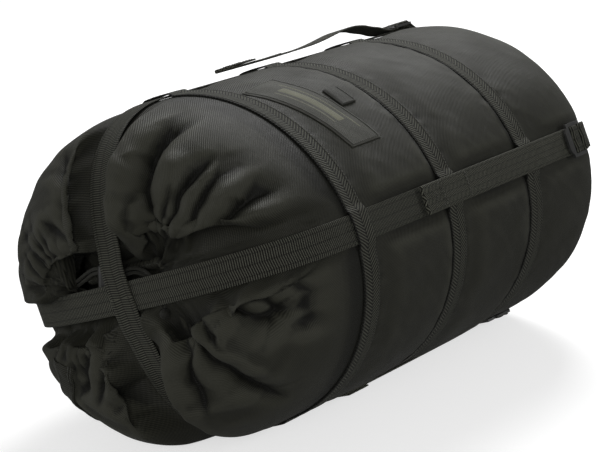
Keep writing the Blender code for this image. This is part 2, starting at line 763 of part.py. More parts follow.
def cord_knot(spot):
    """The knot that joins the two cord ends."""
    bm = bmesh.new()
    bmesh.ops.create_icosphere(bm, subdivisions=2, radius=KNOT_RADIUS)
    made = add_object("drawcord_knot", bm, cord_cover(), 180.0)
    made.location = spot


def clear_scene():
    for old in list(bpy.data.objects):
        bpy.data.objects.remove(old, do_unlink=True)


def main():
    clear_scene()
    packed_contents()
    mouth_panel()
    side_panels()
    back_panel()
    bands()
    mouth_hem()
    drawcord()
    cord_lock()
    cord_tails()
    lid_strap("lid_strap_under", "side", 0.0)
    lid_strap("lid_strap_over", "top", STRAP_THICK + 2 * GAP)
    for leg in STRAP_ANGLES:
        ladder_lock(leg)
        strap_wrap(leg)
        strap_tail(leg)
        pull_loop(leg)
        anchor_strap(leg)
    label_patch()
    size_tag()
    seam_binding()


main()
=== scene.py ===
"""Looks of the compression sack: fabric, webbing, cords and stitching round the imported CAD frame."""
import math

import bmesh
import bpy
import numpy as np
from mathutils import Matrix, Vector


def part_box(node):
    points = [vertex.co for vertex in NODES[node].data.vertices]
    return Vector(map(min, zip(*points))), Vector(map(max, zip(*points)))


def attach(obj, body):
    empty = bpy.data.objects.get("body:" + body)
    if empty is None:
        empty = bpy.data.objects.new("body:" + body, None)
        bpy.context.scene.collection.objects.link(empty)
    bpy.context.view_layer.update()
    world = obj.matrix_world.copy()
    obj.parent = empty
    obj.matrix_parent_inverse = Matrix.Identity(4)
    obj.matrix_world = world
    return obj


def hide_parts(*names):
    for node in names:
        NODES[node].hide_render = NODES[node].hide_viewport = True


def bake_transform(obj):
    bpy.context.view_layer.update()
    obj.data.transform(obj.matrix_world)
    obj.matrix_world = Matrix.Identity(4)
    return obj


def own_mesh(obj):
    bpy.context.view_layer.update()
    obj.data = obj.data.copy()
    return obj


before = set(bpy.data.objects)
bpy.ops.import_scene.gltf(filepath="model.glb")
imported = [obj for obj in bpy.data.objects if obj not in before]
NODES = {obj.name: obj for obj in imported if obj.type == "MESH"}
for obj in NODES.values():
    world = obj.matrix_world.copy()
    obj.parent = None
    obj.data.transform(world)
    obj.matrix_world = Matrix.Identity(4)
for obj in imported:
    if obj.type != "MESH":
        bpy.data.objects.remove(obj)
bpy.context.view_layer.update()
LEGS = {"top": 67.5, "side": 157.5, "bottom": 247.5, "far": 337.5}

# Figures shared with the CAD part, metres
FRONT_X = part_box("front_band")[0].x
BAND_WIDTH = 0.022
BAND_STATIONS = {name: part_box(name)[0].x - FRONT_X for name in ("front_band", "middle_band", "rear_band")}
AXIS = 0.1436
HALF_W = 0.153
HALF_H = 0.141
MOUTH_DEPTH = 0.143
BACK_DEPTH = 0.168
BACK_POWER = 5.0
CROSS_DEPTH = 0.113
CROSS_POWER = 2.35
STRAP_WIDTH = 0.025
STRAP_THICK = 0.0016
GAP = 0.0003
LOCK_STATION = 0.340
LOCK_LOW = 0.0041
LOCK_THICK = 0.0024
TAIL_LOW = 0.0030
TAIL_HIGH = 0.0054
LOOP_END = 0.095
LOOP_START = 0.125
HEM_CENTRE = (0.0161, 0.0074)
HEM_STRAIGHT = 0.0398
HEM_RADIUS = 0.0062
HEM_X = -0.093
HEM_TUBE = 0.0045
HEM_TILT = math.radians(-22.5)
CORD_RADIUS = 0.0015
CORD_PITCH = 0.0018

# Figures of the detailed pieces alone
SEAMS = [station + BAND_WIDTH / 2 for station in BAND_STATIONS.values()]
BACK_SEAM = 0.4075
SEAM_GAP = 0.0002
CLOTH_THICK = 0.0008
ALONG = np.array([1.0, 0.0, 0.0])


# ---------------------------------------------------------------- shapes

def smooth(x):
    x = np.clip(x, 0.0, 1.0)
    return x * x * (3.0 - 2.0 * x)


def mix(a, b, share):
    return a + (b - a) * share


def unit(v):
    return v / np.maximum(np.linalg.norm(v, axis=-1, keepdims=True), 1e-12)


def spread(*parts):
    """Points from coordinates that broadcast together."""
    return np.stack(np.broadcast_arrays(*parts), -1)


def run_length(line):
    """Length along a line up to each of its points."""
    return np.concatenate([[0.0], np.cumsum(np.linalg.norm(np.diff(line, axis=0), axis=-1))])


def assign(made, **values):
    """Sets several attributes of one thing."""
    for key, value in values.items():
        setattr(made, key, value)
    return made


def ripple(u, v, cells_u, cells_v, seed):
    """Smooth noise from -1 to 1; u goes once round from 0 to 1 and v runs from 0 to 1."""
    table = np.random.RandomState(seed).uniform(-1, 1, (cells_v + 2, cells_u))
    a = (np.asarray(u) % 1.0) * cells_u
    b = np.clip(v, 0, 1) * cells_v
    i, j = np.floor(a).astype(int), np.floor(b).astype(int)
    s, t = smooth(a - i), smooth(b - j)
    i, i2 = i % cells_u, (i + 1) % cells_u
    low = mix(table[j, i], table[j, i2], s)
    high = mix(table[j + 1, i], table[j + 1, i2], s)
    return mix(low, high, t)


def strap_gap(angle):
    """Degrees from this angle to the nearest strap."""
    return np.abs((angle - LEGS["top"] + 45.0) % 90.0 - 45.0)


def facing(angle, way):
    """1 towards one way round the sack, 0 a quarter turn from it."""
    return smooth(np.cos(np.radians(angle - way)))


def back_scale(station):
    """Share of the full width and height that the closed back keeps at a station."""
    reach = np.maximum(0.0, station - BAND_STATIONS["rear_band"]) / BACK_DEPTH
    return (1.0 - np.minimum(1.0, reach) ** BACK_POWER) ** (1.0 / BACK_POWER)


def body(station, angle, lift=0.0):
    """Points on the sack's side; nothing goes below the resting plane."""
    station, angle, lift = np.broadcast_arrays(station, angle, lift)
    scale = back_scale(station)
    turn = np.radians(angle)
    across = (HALF_W * scale + lift) * np.cos(turn)
    up = AXIS + (HALF_H * scale + lift) * np.sin(turn)
    return np.stack([FRONT_X + station, across, np.maximum(up, 0.0)], -1)


def strap_ways(angle):
    """Outward and width directions of a strap on the side of the sack."""
    turn = math.radians(angle)
    out = unit(np.array([0.0, math.cos(turn) / HALF_W, math.sin(turn) / HALF_H]))
    return out, np.array([0.0, -out[2], out[1]])


def to_strap(across, up):
    """Distance of a mouth point from the nearer of the two crossed straps' centre lines."""
    gaps = []
    for leg in ("top", "side"):
        _, wide = strap_ways(LEGS[leg])
        gaps.append(np.abs(across * wide[1] + up * wide[2]))
    return np.minimum(*gaps)


def cross_power(angle):
    """How square a strap's shoulder is: the side away from the label is packed fuller."""
    return CROSS_POWER + 0.75 * facing(angle, LEGS["far"])


def mouth_depth(across, up):
    """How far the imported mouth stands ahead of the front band: billows between valleys under the straps."""
    reach = np.minimum(1.0, np.hypot(across / HALF_W, up / HALF_H))
    angle = np.degrees(np.arctan2(up, across))
    power = cross_power(angle)
    valley = CROSS_DEPTH * (1.0 - reach ** power) ** (1.0 / power) - 0.0035
    full, left = facing(angle, 300.0), facing(angle, 5.0)
    power = 2.7 + 0.9 * full + 0.45 * facing(angle, 75.0)
    billow = (MOUTH_DEPTH - 0.004 * full - 0.012 * left) * (1.0 - reach ** power) ** (1 / power)
    right = smooth(0.5 - across / 0.05)
    rise = 0.1120 + mix(0.60, 0.27, right) * np.hypot(across, up)
    billow = -0.003 * np.logaddexp(-billow / 0.003, -rise / 0.003)
    bank = mix(0.034, 0.019, smooth((reach - 0.22) / 0.38))
    bank = bank * (1.0 - 0.58 * smooth(2.0 * np.cos(np.radians(angle + 22.5)) + 0.1))
    return mix(valley, np.maximum(valley, billow), smooth((to_strap(across, up) - 0.0130) / bank))


def hem_point(angle, margin):
    """Points round the flattened hem, margin metres outside its centre line."""
    turn = np.radians(angle) - HEM_TILT
    radius = HEM_RADIUS + margin
    cos, sin = np.cos(turn), np.sin(turn)
    flat = np.abs(cos) <= 0.5
    bend = 1.5 * np.arctan2(sin, np.abs(cos))
    along = np.where(flat, 2.0 * cos * HEM_STRAIGHT, np.sign(cos) * (HEM_STRAIGHT + radius * np.cos(bend)))
    beside = np.where(flat, np.sign(sin) * radius, radius * np.sin(bend))
    across = HEM_CENTRE[0] + along * math.cos(HEM_TILT) - beside * math.sin(HEM_TILT)
    up = HEM_CENTRE[1] + along * math.sin(HEM_TILT) + beside * math.cos(HEM_TILT)
    return across, up


def new_object(name, points, faces, look, uv=None, smooth_angle=None, painted_fold_shading=None):
    """A mesh; uv is in metres along its cloth, and the fold value per point paints shade into valleys and a
    highlight on crests.
    """
    mesh = bpy.data.meshes.new(name)
    mesh.from_pydata(np.asarray(points).reshape(-1, 3).tolist(), [], faces)
    mesh.materials.append(look)
    if painted_fold_shading is not None:
        values = mesh.attributes.new("painted_fold_shading", "FLOAT", "POINT")
        values.data.foreach_set("value", np.asarray(painted_fold_shading, np.float32).ravel())
    if uv is not None:
        layer = mesh.uv_layers.new(name="cloth")
        corners = np.zeros(len(mesh.loops), np.int32)
        mesh.loops.foreach_get("vertex_index", corners)
        layer.data.foreach_set("uv", np.asarray(uv, np.float32).reshape(-1, 2)[corners].ravel())
    mesh.shade_smooth()
    if smooth_angle:
        mesh.set_sharp_from_angle(angle=math.radians(smooth_angle))
    made = bpy.data.objects.new(name, mesh)
    bpy.context.scene.collection.objects.link(made)
    return made


def grid_faces(rows, columns, closed=True, flip=False, looped=False):
    """Quads of a grid, closed round each row or open; looped joins the last row to the first."""
    faces = []
    for i in range(rows if looped else rows - 1):
        for j in range(columns if closed else columns - 1):
            k, n = (j + 1) % columns, (i + 1) % rows
            quad = (i * columns + j, i * columns + k, n * columns + k, n * columns + j)
            faces.append(quad[::-1] if flip else quad)
    return faces


def flip_out(made):
    """Faces the normals outward."""
    bm = bmesh.new()
    bm.from_mesh(made.data)
    bmesh.ops.recalc_face_normals(bm, faces=bm.faces)
    bm.to_mesh(made.data)
    bm.free()
    return made


def closed_tube(name, points, look, uv, painted_fold_shading=None):
    """A grid closed round each row, with a face over each end."""
    rows, columns = points.shape[:2]
    faces = grid_faces(rows, columns)
    faces.append(tuple(range(columns)))
    faces.append(tuple(range((rows - 1) * columns, rows * columns))[::-1])
    return flip_out(new_object(name, points, faces, look, uv, 60, painted_fold_shading))


def put(made, bodies, replaced=(), start=None):
    """Ties a piece to its body, or, when start is given, bakes its place into its mesh; and hides the nodes
    it replaces.
    """
    if start is None:
        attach(made, bodies)
    else:
        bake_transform(made)
    if replaced:
        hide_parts(*replaced)
    return made


def outward(points):
    """Unit normals of a closed grid round the sack's axis, away from its middle."""
    along = np.gradient(points, axis=0)
    around = np.roll(points, -1, 1) - np.roll(points, 1, 1)
    normal = unit(np.cross(around, along))
    return normal * np.sign((normal * (points - np.array([FRONT_X + 0.05, 0, AXIS]))).sum(-1, keepdims=True))


def hollow(points):
    """How deep in a fold each point of a closed grid lies: 0.5 on the flat, 1 in a valley, 0 on a crest."""
    normal = outward(points)
    rows = np.arange(len(points))
    total = np.zeros(points.shape[:2])
    for reach in (2, 4, 6):
        ahead, behind = np.roll(points, -reach, 1), np.roll(points, reach, 1)
        below, above = points[np.minimum(rows + reach, rows[-1])], points[np.maximum(rows - reach, 0)]
        for one, other in ((ahead, behind), (below, above)):
            middle = ((one + other) / 2 - points) * normal
            total += middle.sum(-1) / (np.linalg.norm(one - other, axis=-1) / 2 + 0.0015)
    return np.clip(0.5 + 0.95 * total, 0.0, 1.0)


def cloth(name, node, points, uv, flip=False, deep=0.0, ease=0.0):
    """A panel of the sack, thickened inward; its fold values paint shade into valleys and a highlight on
    crests, deep adds painted shade where light hardly reaches, and ease fades the painted fold shading back
    to even.
    """
    painted_fold_shading = np.maximum(mix(hollow(points), 0.5, ease), deep)
    made = new_object(name, points, grid_faces(*points.shape[:2], flip=flip), NYLON, uv, painted_fold_shading=painted_fold_shading)
    assign(made.modifiers.new("thickness", "SOLIDIFY"), thickness=CLOTH_THICK, offset=-1.0)
    put(made, "sack", [node])


# ---------------------------------------------------------------- materials

class Look:
    """A material and short ways to build its nodes."""

    def __init__(self, name, colour, roughness, sheen=0.0, metallic=0.0, specular=0.5):
        self.made = bpy.data.materials.new(name)
        self.made.use_nodes = True
        self.tree = self.made.node_tree
        self.shader = self.tree.nodes["Principled BSDF"]
        values = {"Base Color": (*colour, 1.0), "Roughness": roughness, "Metallic": metallic,
                  "Specular IOR Level": specular, "Sheen Weight": sheen, "Sheen Roughness": 0.45,
                  "Sheen Tint": (0.86, 0.88, 0.82, 1.0)}
        for key, value in values.items():
            self.shader.inputs[key].default_value = value

    def node(self, kind, **values):
        return assign(self.tree.nodes.new(kind), **values)

    def link(self, source, target):
        self.tree.links.new(source, target)

    def feed(self, socket, value):
        if isinstance(value, bpy.types.NodeSocket):
            self.link(value, socket)
        else:
            socket.default_value = value

    def math(self, operation, a, b=0.0, c=0.0):
        made = self.node("ShaderNodeMath", operation=operation)
        for socket, value in zip(made.inputs, (a, b, c)):
            self.feed(socket, value)
        return made.outputs[0]

    def times(self, a, b):
        return self.math("MULTIPLY", a, b)

    def cloth_uv(self):
        """Lengths along the piece's cloth in millimetres: along and across."""
        uv = self.node("ShaderNodeUVMap", uv_map="cloth")
        split = self.node("ShaderNodeSeparateXYZ")
        self.link(uv.outputs[0], split.inputs[0])
        return self.times(split.outputs[0], 1000.0), self.times(split.outputs[1], 1000.0)

    def wave(self, phase, pitch):
        """A sine from 0 to 1 along a length in millimetres."""
        turn = self.times(phase, 2.0 * math.pi / pitch)
        return self.math("MULTIPLY_ADD", self.math("SINE", turn), 0.5, 0.5)

    def noise(self, scale, detail, rough=0.55):
        made = self.node("ShaderNodeTexNoise")
        self.link(self.node("ShaderNodeTexCoord").outputs["Object"], made.inputs["Vector"])
        for key, value in (("Scale", scale), ("Detail", detail), ("Roughness", rough)):
            made.inputs[key].default_value = value
        return made.outputs["Fac"]

    def ramp(self, value, low, high, low_to=0.0, high_to=1.0):
        made = self.node("ShaderNodeMapRange")
        self.feed(made.inputs["Value"], value)
        for key, number in (("From Min", low), ("From Max", high), ("To Min", low_to), ("To Max", high_to)):
            made.inputs[key].default_value = number
        return made.outputs[0]

    def blend(self, share, a, b):
        made = self.node("ShaderNodeMix", data_type="RGBA")
        self.feed(made.inputs["Factor"], share)
        for key, value in (("A", a), ("B", b)):
            socket = [s for s in made.inputs if s.name == key and s.type == "RGBA"][0]
            self.feed(socket, (*value, 1.0) if isinstance(value, tuple) else value)
        return [s for s in made.outputs if s.type == "RGBA"][0]

    def bump(self, height, distance, strength, normal=None):
        made = self.node("ShaderNodeBump")
        made.inputs["Distance"].default_value = distance
        made.inputs["Strength"].default_value = strength
        self.link(height, made.inputs["Height"])
        if normal is not None:
            self.link(normal, made.inputs["Normal"])
        return made.outputs[0]

    def finish(self, colour, roughness, normal):
        for key, value in (("Base Color", colour), ("Roughness", roughness), ("Normal", normal)):
            self.link(value, self.shader.inputs[key])
        return self.made


def lit(colour, light):
    return tuple(v * light for v in colour)


def nylon_material():
    """Coated nylon: a fine diagonal twill and slight fading, with a painted highlight on fold crests and
    painted shade in fold bottoms.
    """
    g = Look("nylon_cloth", (0.03, 0.03, 0.024), 0.60, sheen=0.02, specular=0.12)
    along, across = g.cloth_uv()
    twill = g.wave(g.math("ADD", along, across), 2.0)
    yarn = g.wave(g.math("SUBTRACT", along, g.times(across, 0.35)), 1.1)
    weave = g.math("MULTIPLY_ADD", twill, 0.75, g.times(yarn, 0.25))
    fade = g.ramp(g.noise(9.0, 4.0), 0.3, 0.7)
    speck = g.ramp(g.noise(900.0, 2.0), 0.35, 0.65)
    tone = g.blend(fade, (0.0040, 0.0040, 0.0030), (0.0075, 0.0075, 0.0056))
    tone = g.blend(g.times(weave, 0.68), tone, (0.041, 0.041, 0.0305))
    tone = g.blend(g.times(speck, 0.18), tone, (0.014, 0.014, 0.0105))
    painted_fold_shading = g.node("ShaderNodeAttribute", attribute_name="painted_fold_shading").outputs["Fac"]
    # Painted highlight on crests and painted shade deep in valleys, both driven by the fold value of each
    # point.
    tone = g.blend(g.ramp(painted_fold_shading, 0.44, 0.05, 0.0, 0.42), tone, (0.050, 0.050, 0.038))
    tone = g.blend(g.ramp(painted_fold_shading, 0.60, 1.0, 0.0, 0.80), tone, (0.0009, 0.0009, 0.0007))
    rough = g.ramp(g.noise(26.0, 4.0), 0.25, 0.75, 0.50, 0.66)
    normal = g.bump(weave, 0.00030, 1.0)
    crumple = g.bump(g.noise(70.0, 4.0, 0.6), 0.0011, 0.5, normal)
    return g.finish(tone, rough, crumple)


def webbing_material(name, pitch, columns, slant, light=1.0):
    """Woven webbing: ribs across it that step sideways in columns, with darker gaps and fuzz."""
    g = Look(name, (0.03, 0.03, 0.024), 0.72, sheen=0.03, specular=0.14)
    along, across = g.cloth_uv()
    width = STRAP_WIDTH * 1000 / columns
    shifted = g.math("ADD", across, 100.0 * width)
    step = g.math("PINGPONG", shifted, width)
    rib = g.wave(g.math("ADD", along, g.times(step, slant)), pitch)
    column = g.math("SINE", g.times(shifted, math.pi / width))
    column = g.ramp(g.math("ABSOLUTE", column), 0.0, 0.35)
    thread = g.wave(across, 1.25)
    height = g.math("MULTIPLY_ADD", rib, 0.75, g.times(thread, 0.25))
    height = g.times(height, g.math("MULTIPLY_ADD", column, 0.35, 0.65))
    fade = g.ramp(g.noise(14.0, 4.0), 0.3, 0.7)
    dark, pale = lit((0.0012, 0.0012, 0.0009), light), lit((0.082, 0.083, 0.064), light)
    tone = g.blend(g.ramp(height, 0.34, 0.86), dark, pale)
    tone = g.blend(g.times(fade, 0.25), tone, lit((0.028, 0.028, 0.022), light))
    speck = g.ramp(g.noise(1400.0, 2.0), 0.4, 0.6)
    tone = g.blend(g.times(speck, 0.2), tone, (0.012, 0.012, 0.009))
    normal = g.bump(height, 0.0009, 1.0)
    return g.finish(tone, g.ramp(speck, 0.0, 1.0, 0.66, 0.82), normal)


def plastic_material():
    """Moulded acetal: fine spark-eroded grain, scuffed a little."""
    g = Look("acetal", (0.022, 0.022, 0.020), 0.42, specular=0.5)
    grain = g.noise(1500.0, 2.0)
    scuff = g.ramp(g.noise(60.0, 5.0, 0.7), 0.45, 0.75)
    tone = g.blend(scuff, (0.017, 0.017, 0.016), (0.034, 0.034, 0.031))
    return g.finish(tone, g.ramp(scuff, 0.0, 1.0, 0.36, 0.58), g.bump(grain, 0.00012, 0.6))


def cord_material():
    """Braided cord: two crossed sets of strands."""
    g = Look("braid", (0.03, 0.03, 0.026), 0.75, sheen=0.05, specular=0.2)
    along, across = g.cloth_uv()
    left = g.wave(g.math("MULTIPLY_ADD", across, 2.0, along), 1.6)
    right = g.wave(g.math("SUBTRACT", along, g.times(across, 2.0)), 1.6)
    braid = g.math("MAXIMUM", left, right)
    tone = g.blend(g.ramp(braid, 0.4, 1.0), (0.004, 0.004, 0.003), (0.020, 0.020, 0.015))
    fuzz = g.noise(1800.0, 2.0)
    tone = g.blend(g.times(fuzz, 0.20), tone, (0.025, 0.025, 0.020))
    return g.finish(tone, g.ramp(fuzz, 0.2, 0.8, 0.68, 0.85), g.bump(braid, 0.0003, 0.9))


def thread_material():
    """Spun sewing thread with a little fuzz."""
    g = Look("thread", (0.028, 0.028, 0.023), 0.7, sheen=0.2, specular=0.3)
    fuzz = g.noise(2200.0, 2.0)
    tone = g.blend(fuzz, (0.018, 0.018, 0.015), (0.050, 0.050, 0.042))
    return g.finish(tone, g.ramp(fuzz, 0.2, 0.8, 0.6, 0.8), g.bump(fuzz, 0.0002, 0.7))


def spring_material():
    """Drawn steel wire, slightly worn."""
    g = Look("spring_wire", (0.55, 0.55, 0.53), 0.3, metallic=1.0)
    worn = g.noise(400.0, 4.0)
    tone = g.blend(worn, (0.42, 0.42, 0.41), (0.66, 0.66, 0.64))
    return g.finish(tone, g.ramp(worn, 0.3, 0.7, 0.22, 0.42), g.bump(worn, 0.0001, 0.4))


def patch_material(name, base, light):
    """Close-woven badge cloth with a fine grid and a matt face."""
    g = Look(name, base, 0.8, sheen=0.15, specular=0.25)
    along, across = g.cloth_uv()
    grid = g.times(g.wave(along, 0.8), g.wave(across, 0.8))
    fade = g.ramp(g.noise(60.0, 4.0), 0.3, 0.7)
    tone = g.blend(g.math("MULTIPLY_ADD", grid, 0.6, g.times(fade, 0.4)),
                   lit(base, 0.75), lit(base, light))
    return g.finish(tone, g.ramp(grid, 0.0, 1.0, 0.85, 0.7), g.bump(grid, 0.0002, 0.8))


NYLON = nylon_material()
STRAP = webbing_material("strap_webbing", 1.95, 3, 0.12)
STRAP_FINE = webbing_material("tail_webbing", 2.1, 5, 0.55, 1.3)
BAND = webbing_material("band_webbing", 3.0, 2, 0.75)
# The band webbing darkened to 0.12: a shaded copy, used as painted shadow on the band's front edge.
BAND_EDGE_SHADE = webbing_material("band_edge_painted_shade", 3.0, 2, 0.75, 0.12)
ACETAL = plastic_material()
BRAID = cord_material()
THREAD = thread_material()
WIRE = spring_material()
PATCH = patch_material("badge_cloth", (0.030, 0.030, 0.024), 1.35)
TAG = patch_material("tag_cloth", (0.014, 0.014, 0.011), 1.3)
EMBROIDERY = patch_material("badge_thread", (0.112, 0.112, 0.076), 1.3)


# ---------------------------------------------------------------- fabric of the sack

COLUMNS = 480
ANGLES = np.arange(COLUMNS) * 360.0 / COLUMNS
ROUND = HALF_W * 2 * math.pi * 0.96


def under_strap(angle):
    """1 where a strap holds the fabric flat, 0 beside it."""
    edge, easing = 4.9, 5.5
    return 1.0 - smooth((strap_gap(angle) - edge) / easing)


def tube_lift(station, angle):
    """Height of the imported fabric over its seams: it swells behind a band and rolls in before the next."""
    seams = [*BAND_STATIONS.values(), BACK_SEAM]
    lift = np.zeros(np.broadcast(station, angle).shape)
    free = 1.0 - under_strap(angle)
    for start, end in zip(seams, seams[1:]):
        low = start + BAND_WIDTH
        inside = (station > low) & (station < end)
        share = np.clip((station - low) / (end - low), 0, 1)
        roll = np.clip((station - (end - 0.007)) / 0.007, 0, 1)
        swell = smooth(share / 0.30) * (0.0026 + 0.0012 * np.sin(math.pi * share)) * np.sqrt(1 - roll ** 2)
        if end == seams[-1]:
            swell = 0.0030 * np.sin(math.pi * share) ** 0.8
        lift = np.where(inside, swell * free, lift)
    return lift


def tube_wrinkles(station, angle):
    """Soft long folds, and small puckers beside the bands."""
    u, v = angle / 360.0, np.clip((station + 0.02) / 0.46, 0, 1)
    free = 1.0 - under_strap(angle)
    folds = 0.0011 * ripple(u + 0.02 * ripple(u, v, 9, 5, 4), v, 16, 5, 1)
    folds = folds + 0.0006 * ripple(u + 0.25 * v, v, 34, 9, 2) + 0.00025 * ripple(u - 0.4 * v, v, 80, 26, 3)
    near = np.ones(np.broadcast(station, angle).shape)
    for start in BAND_STATIONS.values():
        gap = np.maximum(np.maximum(start - station, station - start - BAND_WIDTH), 0.0)
        near = np.minimum(near, gap)
    pucker = np.exp(-((near - 0.004) / 0.006) ** 2) * 0.00045 * ripple(u, v, 150, 8, 7)
    calm = smooth(near / 0.006)
    return (folds * calm + pucker * (near > 0)) * free


def tube(part, start, end):
    """One length of the sack's side, from band to band."""
    rows = max(6, int(round((end - start) / 0.0020)))
    stations = np.linspace(start, end, rows)[:, None]
    angle = ANGLES[None, :]
    points = body(stations, angle, tube_lift(stations, angle) + tube_wrinkles(stations, angle))
    # Painted shadow on the last few millimetres of swell before the next band, where the band's edge shades
    # the cloth.
    roll = smooth((stations - (end - BAND_WIDTH / 2 - 0.0062)) / 0.0028) * (end < SEAMS[2] + 0.01)
    cloth(part + "_tube_cloth", part + "_tube_panel", points, spread(angle / 360.0 * ROUND, stations),
          deep=0.9 * roll)


tube("front", SEAMS[0] + SEAM_GAP, SEAMS[1] - SEAM_GAP)
tube("middle", SEAMS[1] + SEAM_GAP, SEAMS[2] - SEAM_GAP)
tube("rear", SEAMS[2] + SEAM_GAP, BACK_SEAM - 0.0003)


def back_cloth():
    """The closed back, slightly hollow between its sewn rim and its middle."""
    scales = np.concatenate([np.linspace(0.85, 0.06, 34), [0.004]])[:, None]
    angle = ANGLES[None, ::2]
    depth = BACK_DEPTH * (1.0 - scales ** BACK_POWER) ** (1.0 / BACK_POWER)
    u = angle / 360.0
    sag = 0.0012 * ripple(u, 1 - scales, 7, 3, 21) * np.sin(math.pi * scales)
    sag = sag + 0.0006 * ripple(u, 1 - scales, 40, 3, 22) * smooth((scales - 0.5) / 0.35) * np.sin(8 * scales)
    seam = 0.0016 * np.exp(-((scales - 0.85) / 0.012) ** 2)
    x = FRONT_X + BAND_STATIONS["rear_band"] + depth + sag - seam
    turn = np.radians(angle)
    points = spread(x, HALF_W * scales * np.cos(turn), AXIS + HALF_H * scales * np.sin(turn))
    cloth("back_cloth", "back_panel", points, points[..., 1:3])


back_cloth()

# Folds of the mouth: depth into the sack (mm, negative stands out), half width (mm), and the fold's line as
# (y, z) points in mm from the axis. The points were picked on the photograph and projected onto the mouth
# by a separate fitting script, so this script does not work them out itself.
FOLDS = [
    (17, 7, [(-16, 40), (-33, 68), (-31, 86), (-24, 99), (-21, 114), (-16, 127), (-5, 137)]),
    (15, 7, [(-19, 31), (-50, 65), (-56, 87), (-60, 101), (-64, 114), (-66, 122)]),
    (9, 5, [(-28, 32), (-65, 65), (-74, 79), (-77, 94), (-77, 108), (-71, 120)]),
    (13, 5.5, [(-33, 28), (-63, 53), (-89, 73), (-99, 85), (-102, 96), (-92, 111)]),
    (9, 5, [(-40, 24), (-56, 40), (-76, 53), (-93, 61), (-108, 71)]),
    (6, 4, [(-57, 31), (-74, 42), (-93, 48), (-115, 50)]),
    (-5, 9, [(-56, 71), (-64, 92), (-71, 110), (-72, 118)]),
    (-4, 8, [(-56, 53), (-82, 79), (-90, 98), (-88, 111)]),
    (-4, 8, [(-63, 52), (-90, 67), (-107, 84), (-107, 97)]),
    (15, 8, [(-47, -4), (-82, 5), (-102, 13), (-118, 10), (-135, 0), (-141, -2)]),
    (-6, 7, [(-104, 23), (-122, 20), (-128, 8), (-135, 3)]),
    (8, 6, [(-128, 23), (-137, 10), (-140, 0)]),
    (8, 8, [(-136, 36), (-147, 20), (-149, 0), (-145, -18)]),
    (11, 7, [(-43, -7), (-87, -24), (-103, -40), (-114, -56), (-121, -68), (-127, -75)]),
    (10, 6, [(-37, -8), (-57, -18), (-74, -36), (-81, -60), (-82, -94)]),
    (-5, 8, [(-80, -6), (-102, -27), (-119, -39), (-131, -47)]),
    (8, 6, [(-72, 2), (-90, -3), (-99, -12), (-105, -10)]),
    (10, 6, [(46, -32), (28, -49), (34, -75), (43, -98)]),
    (9, 6, [(17, -25), (14, -48), (10, -69), (17, -97)]),
    (9, 6, [(76, -49), (67, -56), (60, -61)]),
    (7, 5, [(102, -53), (106, -70), (87, -68)]),
    (8, 6, [(8, -28), (10, -38), (4, -50), (-5, -56)]),
    (5, 7, [(-16, -70), (-8, -87), (4, -98)]),
    (5, 6, [(-11, -71), (-20, -101)]),
    (6, 7, [(32, 41), (39, 55), (47, 71), (59, 91), (65, 103), (72, 116)]),
    (8, 8, [(42, 33), (48, 39), (65, 48), (83, 54)]),
    (10, 7, [(32, 22), (41, 20), (56, 9), (83, -7)]),
    (5, 5, [(36, 26), (47, 27), (64, 24), (85, 16)]),
    (5, 6, [(47, 50), (60, 78), (78, 95), (93, 103)]),
    (5, 5, [(-127, 68), (-127, 72), (-130, 72), (-135, 66)]),
    (4, 5, [(-21, 123), (-11, 136), (-7, 140)]),
    (3, 4, [(-19, 129), (-21, 135), (-31, 136)]),
]


def to_line(across, up, line):
    """Distance in millimetres to a line of points, and the share of the line reached."""
    best = np.full(across.shape, 1e9)
    share = np.zeros(across.shape)
    parts = len(line) - 1
    for i, ((ay, az), (by, bz)) in enumerate(zip(line, line[1:])):
        dy, dz = by - ay, bz - az
        t = np.clip(((across - ay) * dy + (up - az) * dz) / (dy * dy + dz * dz), 0, 1)
        gap = np.hypot(across - ay - t * dy, up - az - t * dz)
        share = np.where(gap < best, (i + t) / parts, share)
        best = np.minimum(best, gap)
    return best, share


def groove(x):
    """Section of a fold's valley: a sharp bottom between rounded shoulders."""
    return 0.55 * np.exp(-1.5 * np.abs(x)) + 0.45 * np.exp(-(x / 1.7) ** 2)


def gathers(u, q, count, first, last, width, seed):
    """Valleys that run in to the hem from random starts between first and last; u goes round, q inward."""
    random = np.random.RandomState(seed)
    total = np.zeros(np.broadcast(u, q).shape)
    length = 2 * math.pi * 0.147 * (1.0 - 0.80 * q)
    for k in range(count):
        spot = (k + random.uniform(-0.35, 0.35)) / count
        start = random.uniform(first, last)
        depth = random.uniform(0.45, 1.0)
        lean = random.uniform(-0.035, 0.035)
        curl = random.uniform(-0.03, 0.03)
        off = (u - spot - lean * (1 - q) - curl * np.sin(3.0 * q) + 0.5) % 1.0 - 0.5
        total += depth * groove(off * length / width) * smooth((q - start) / 0.22)
    return total


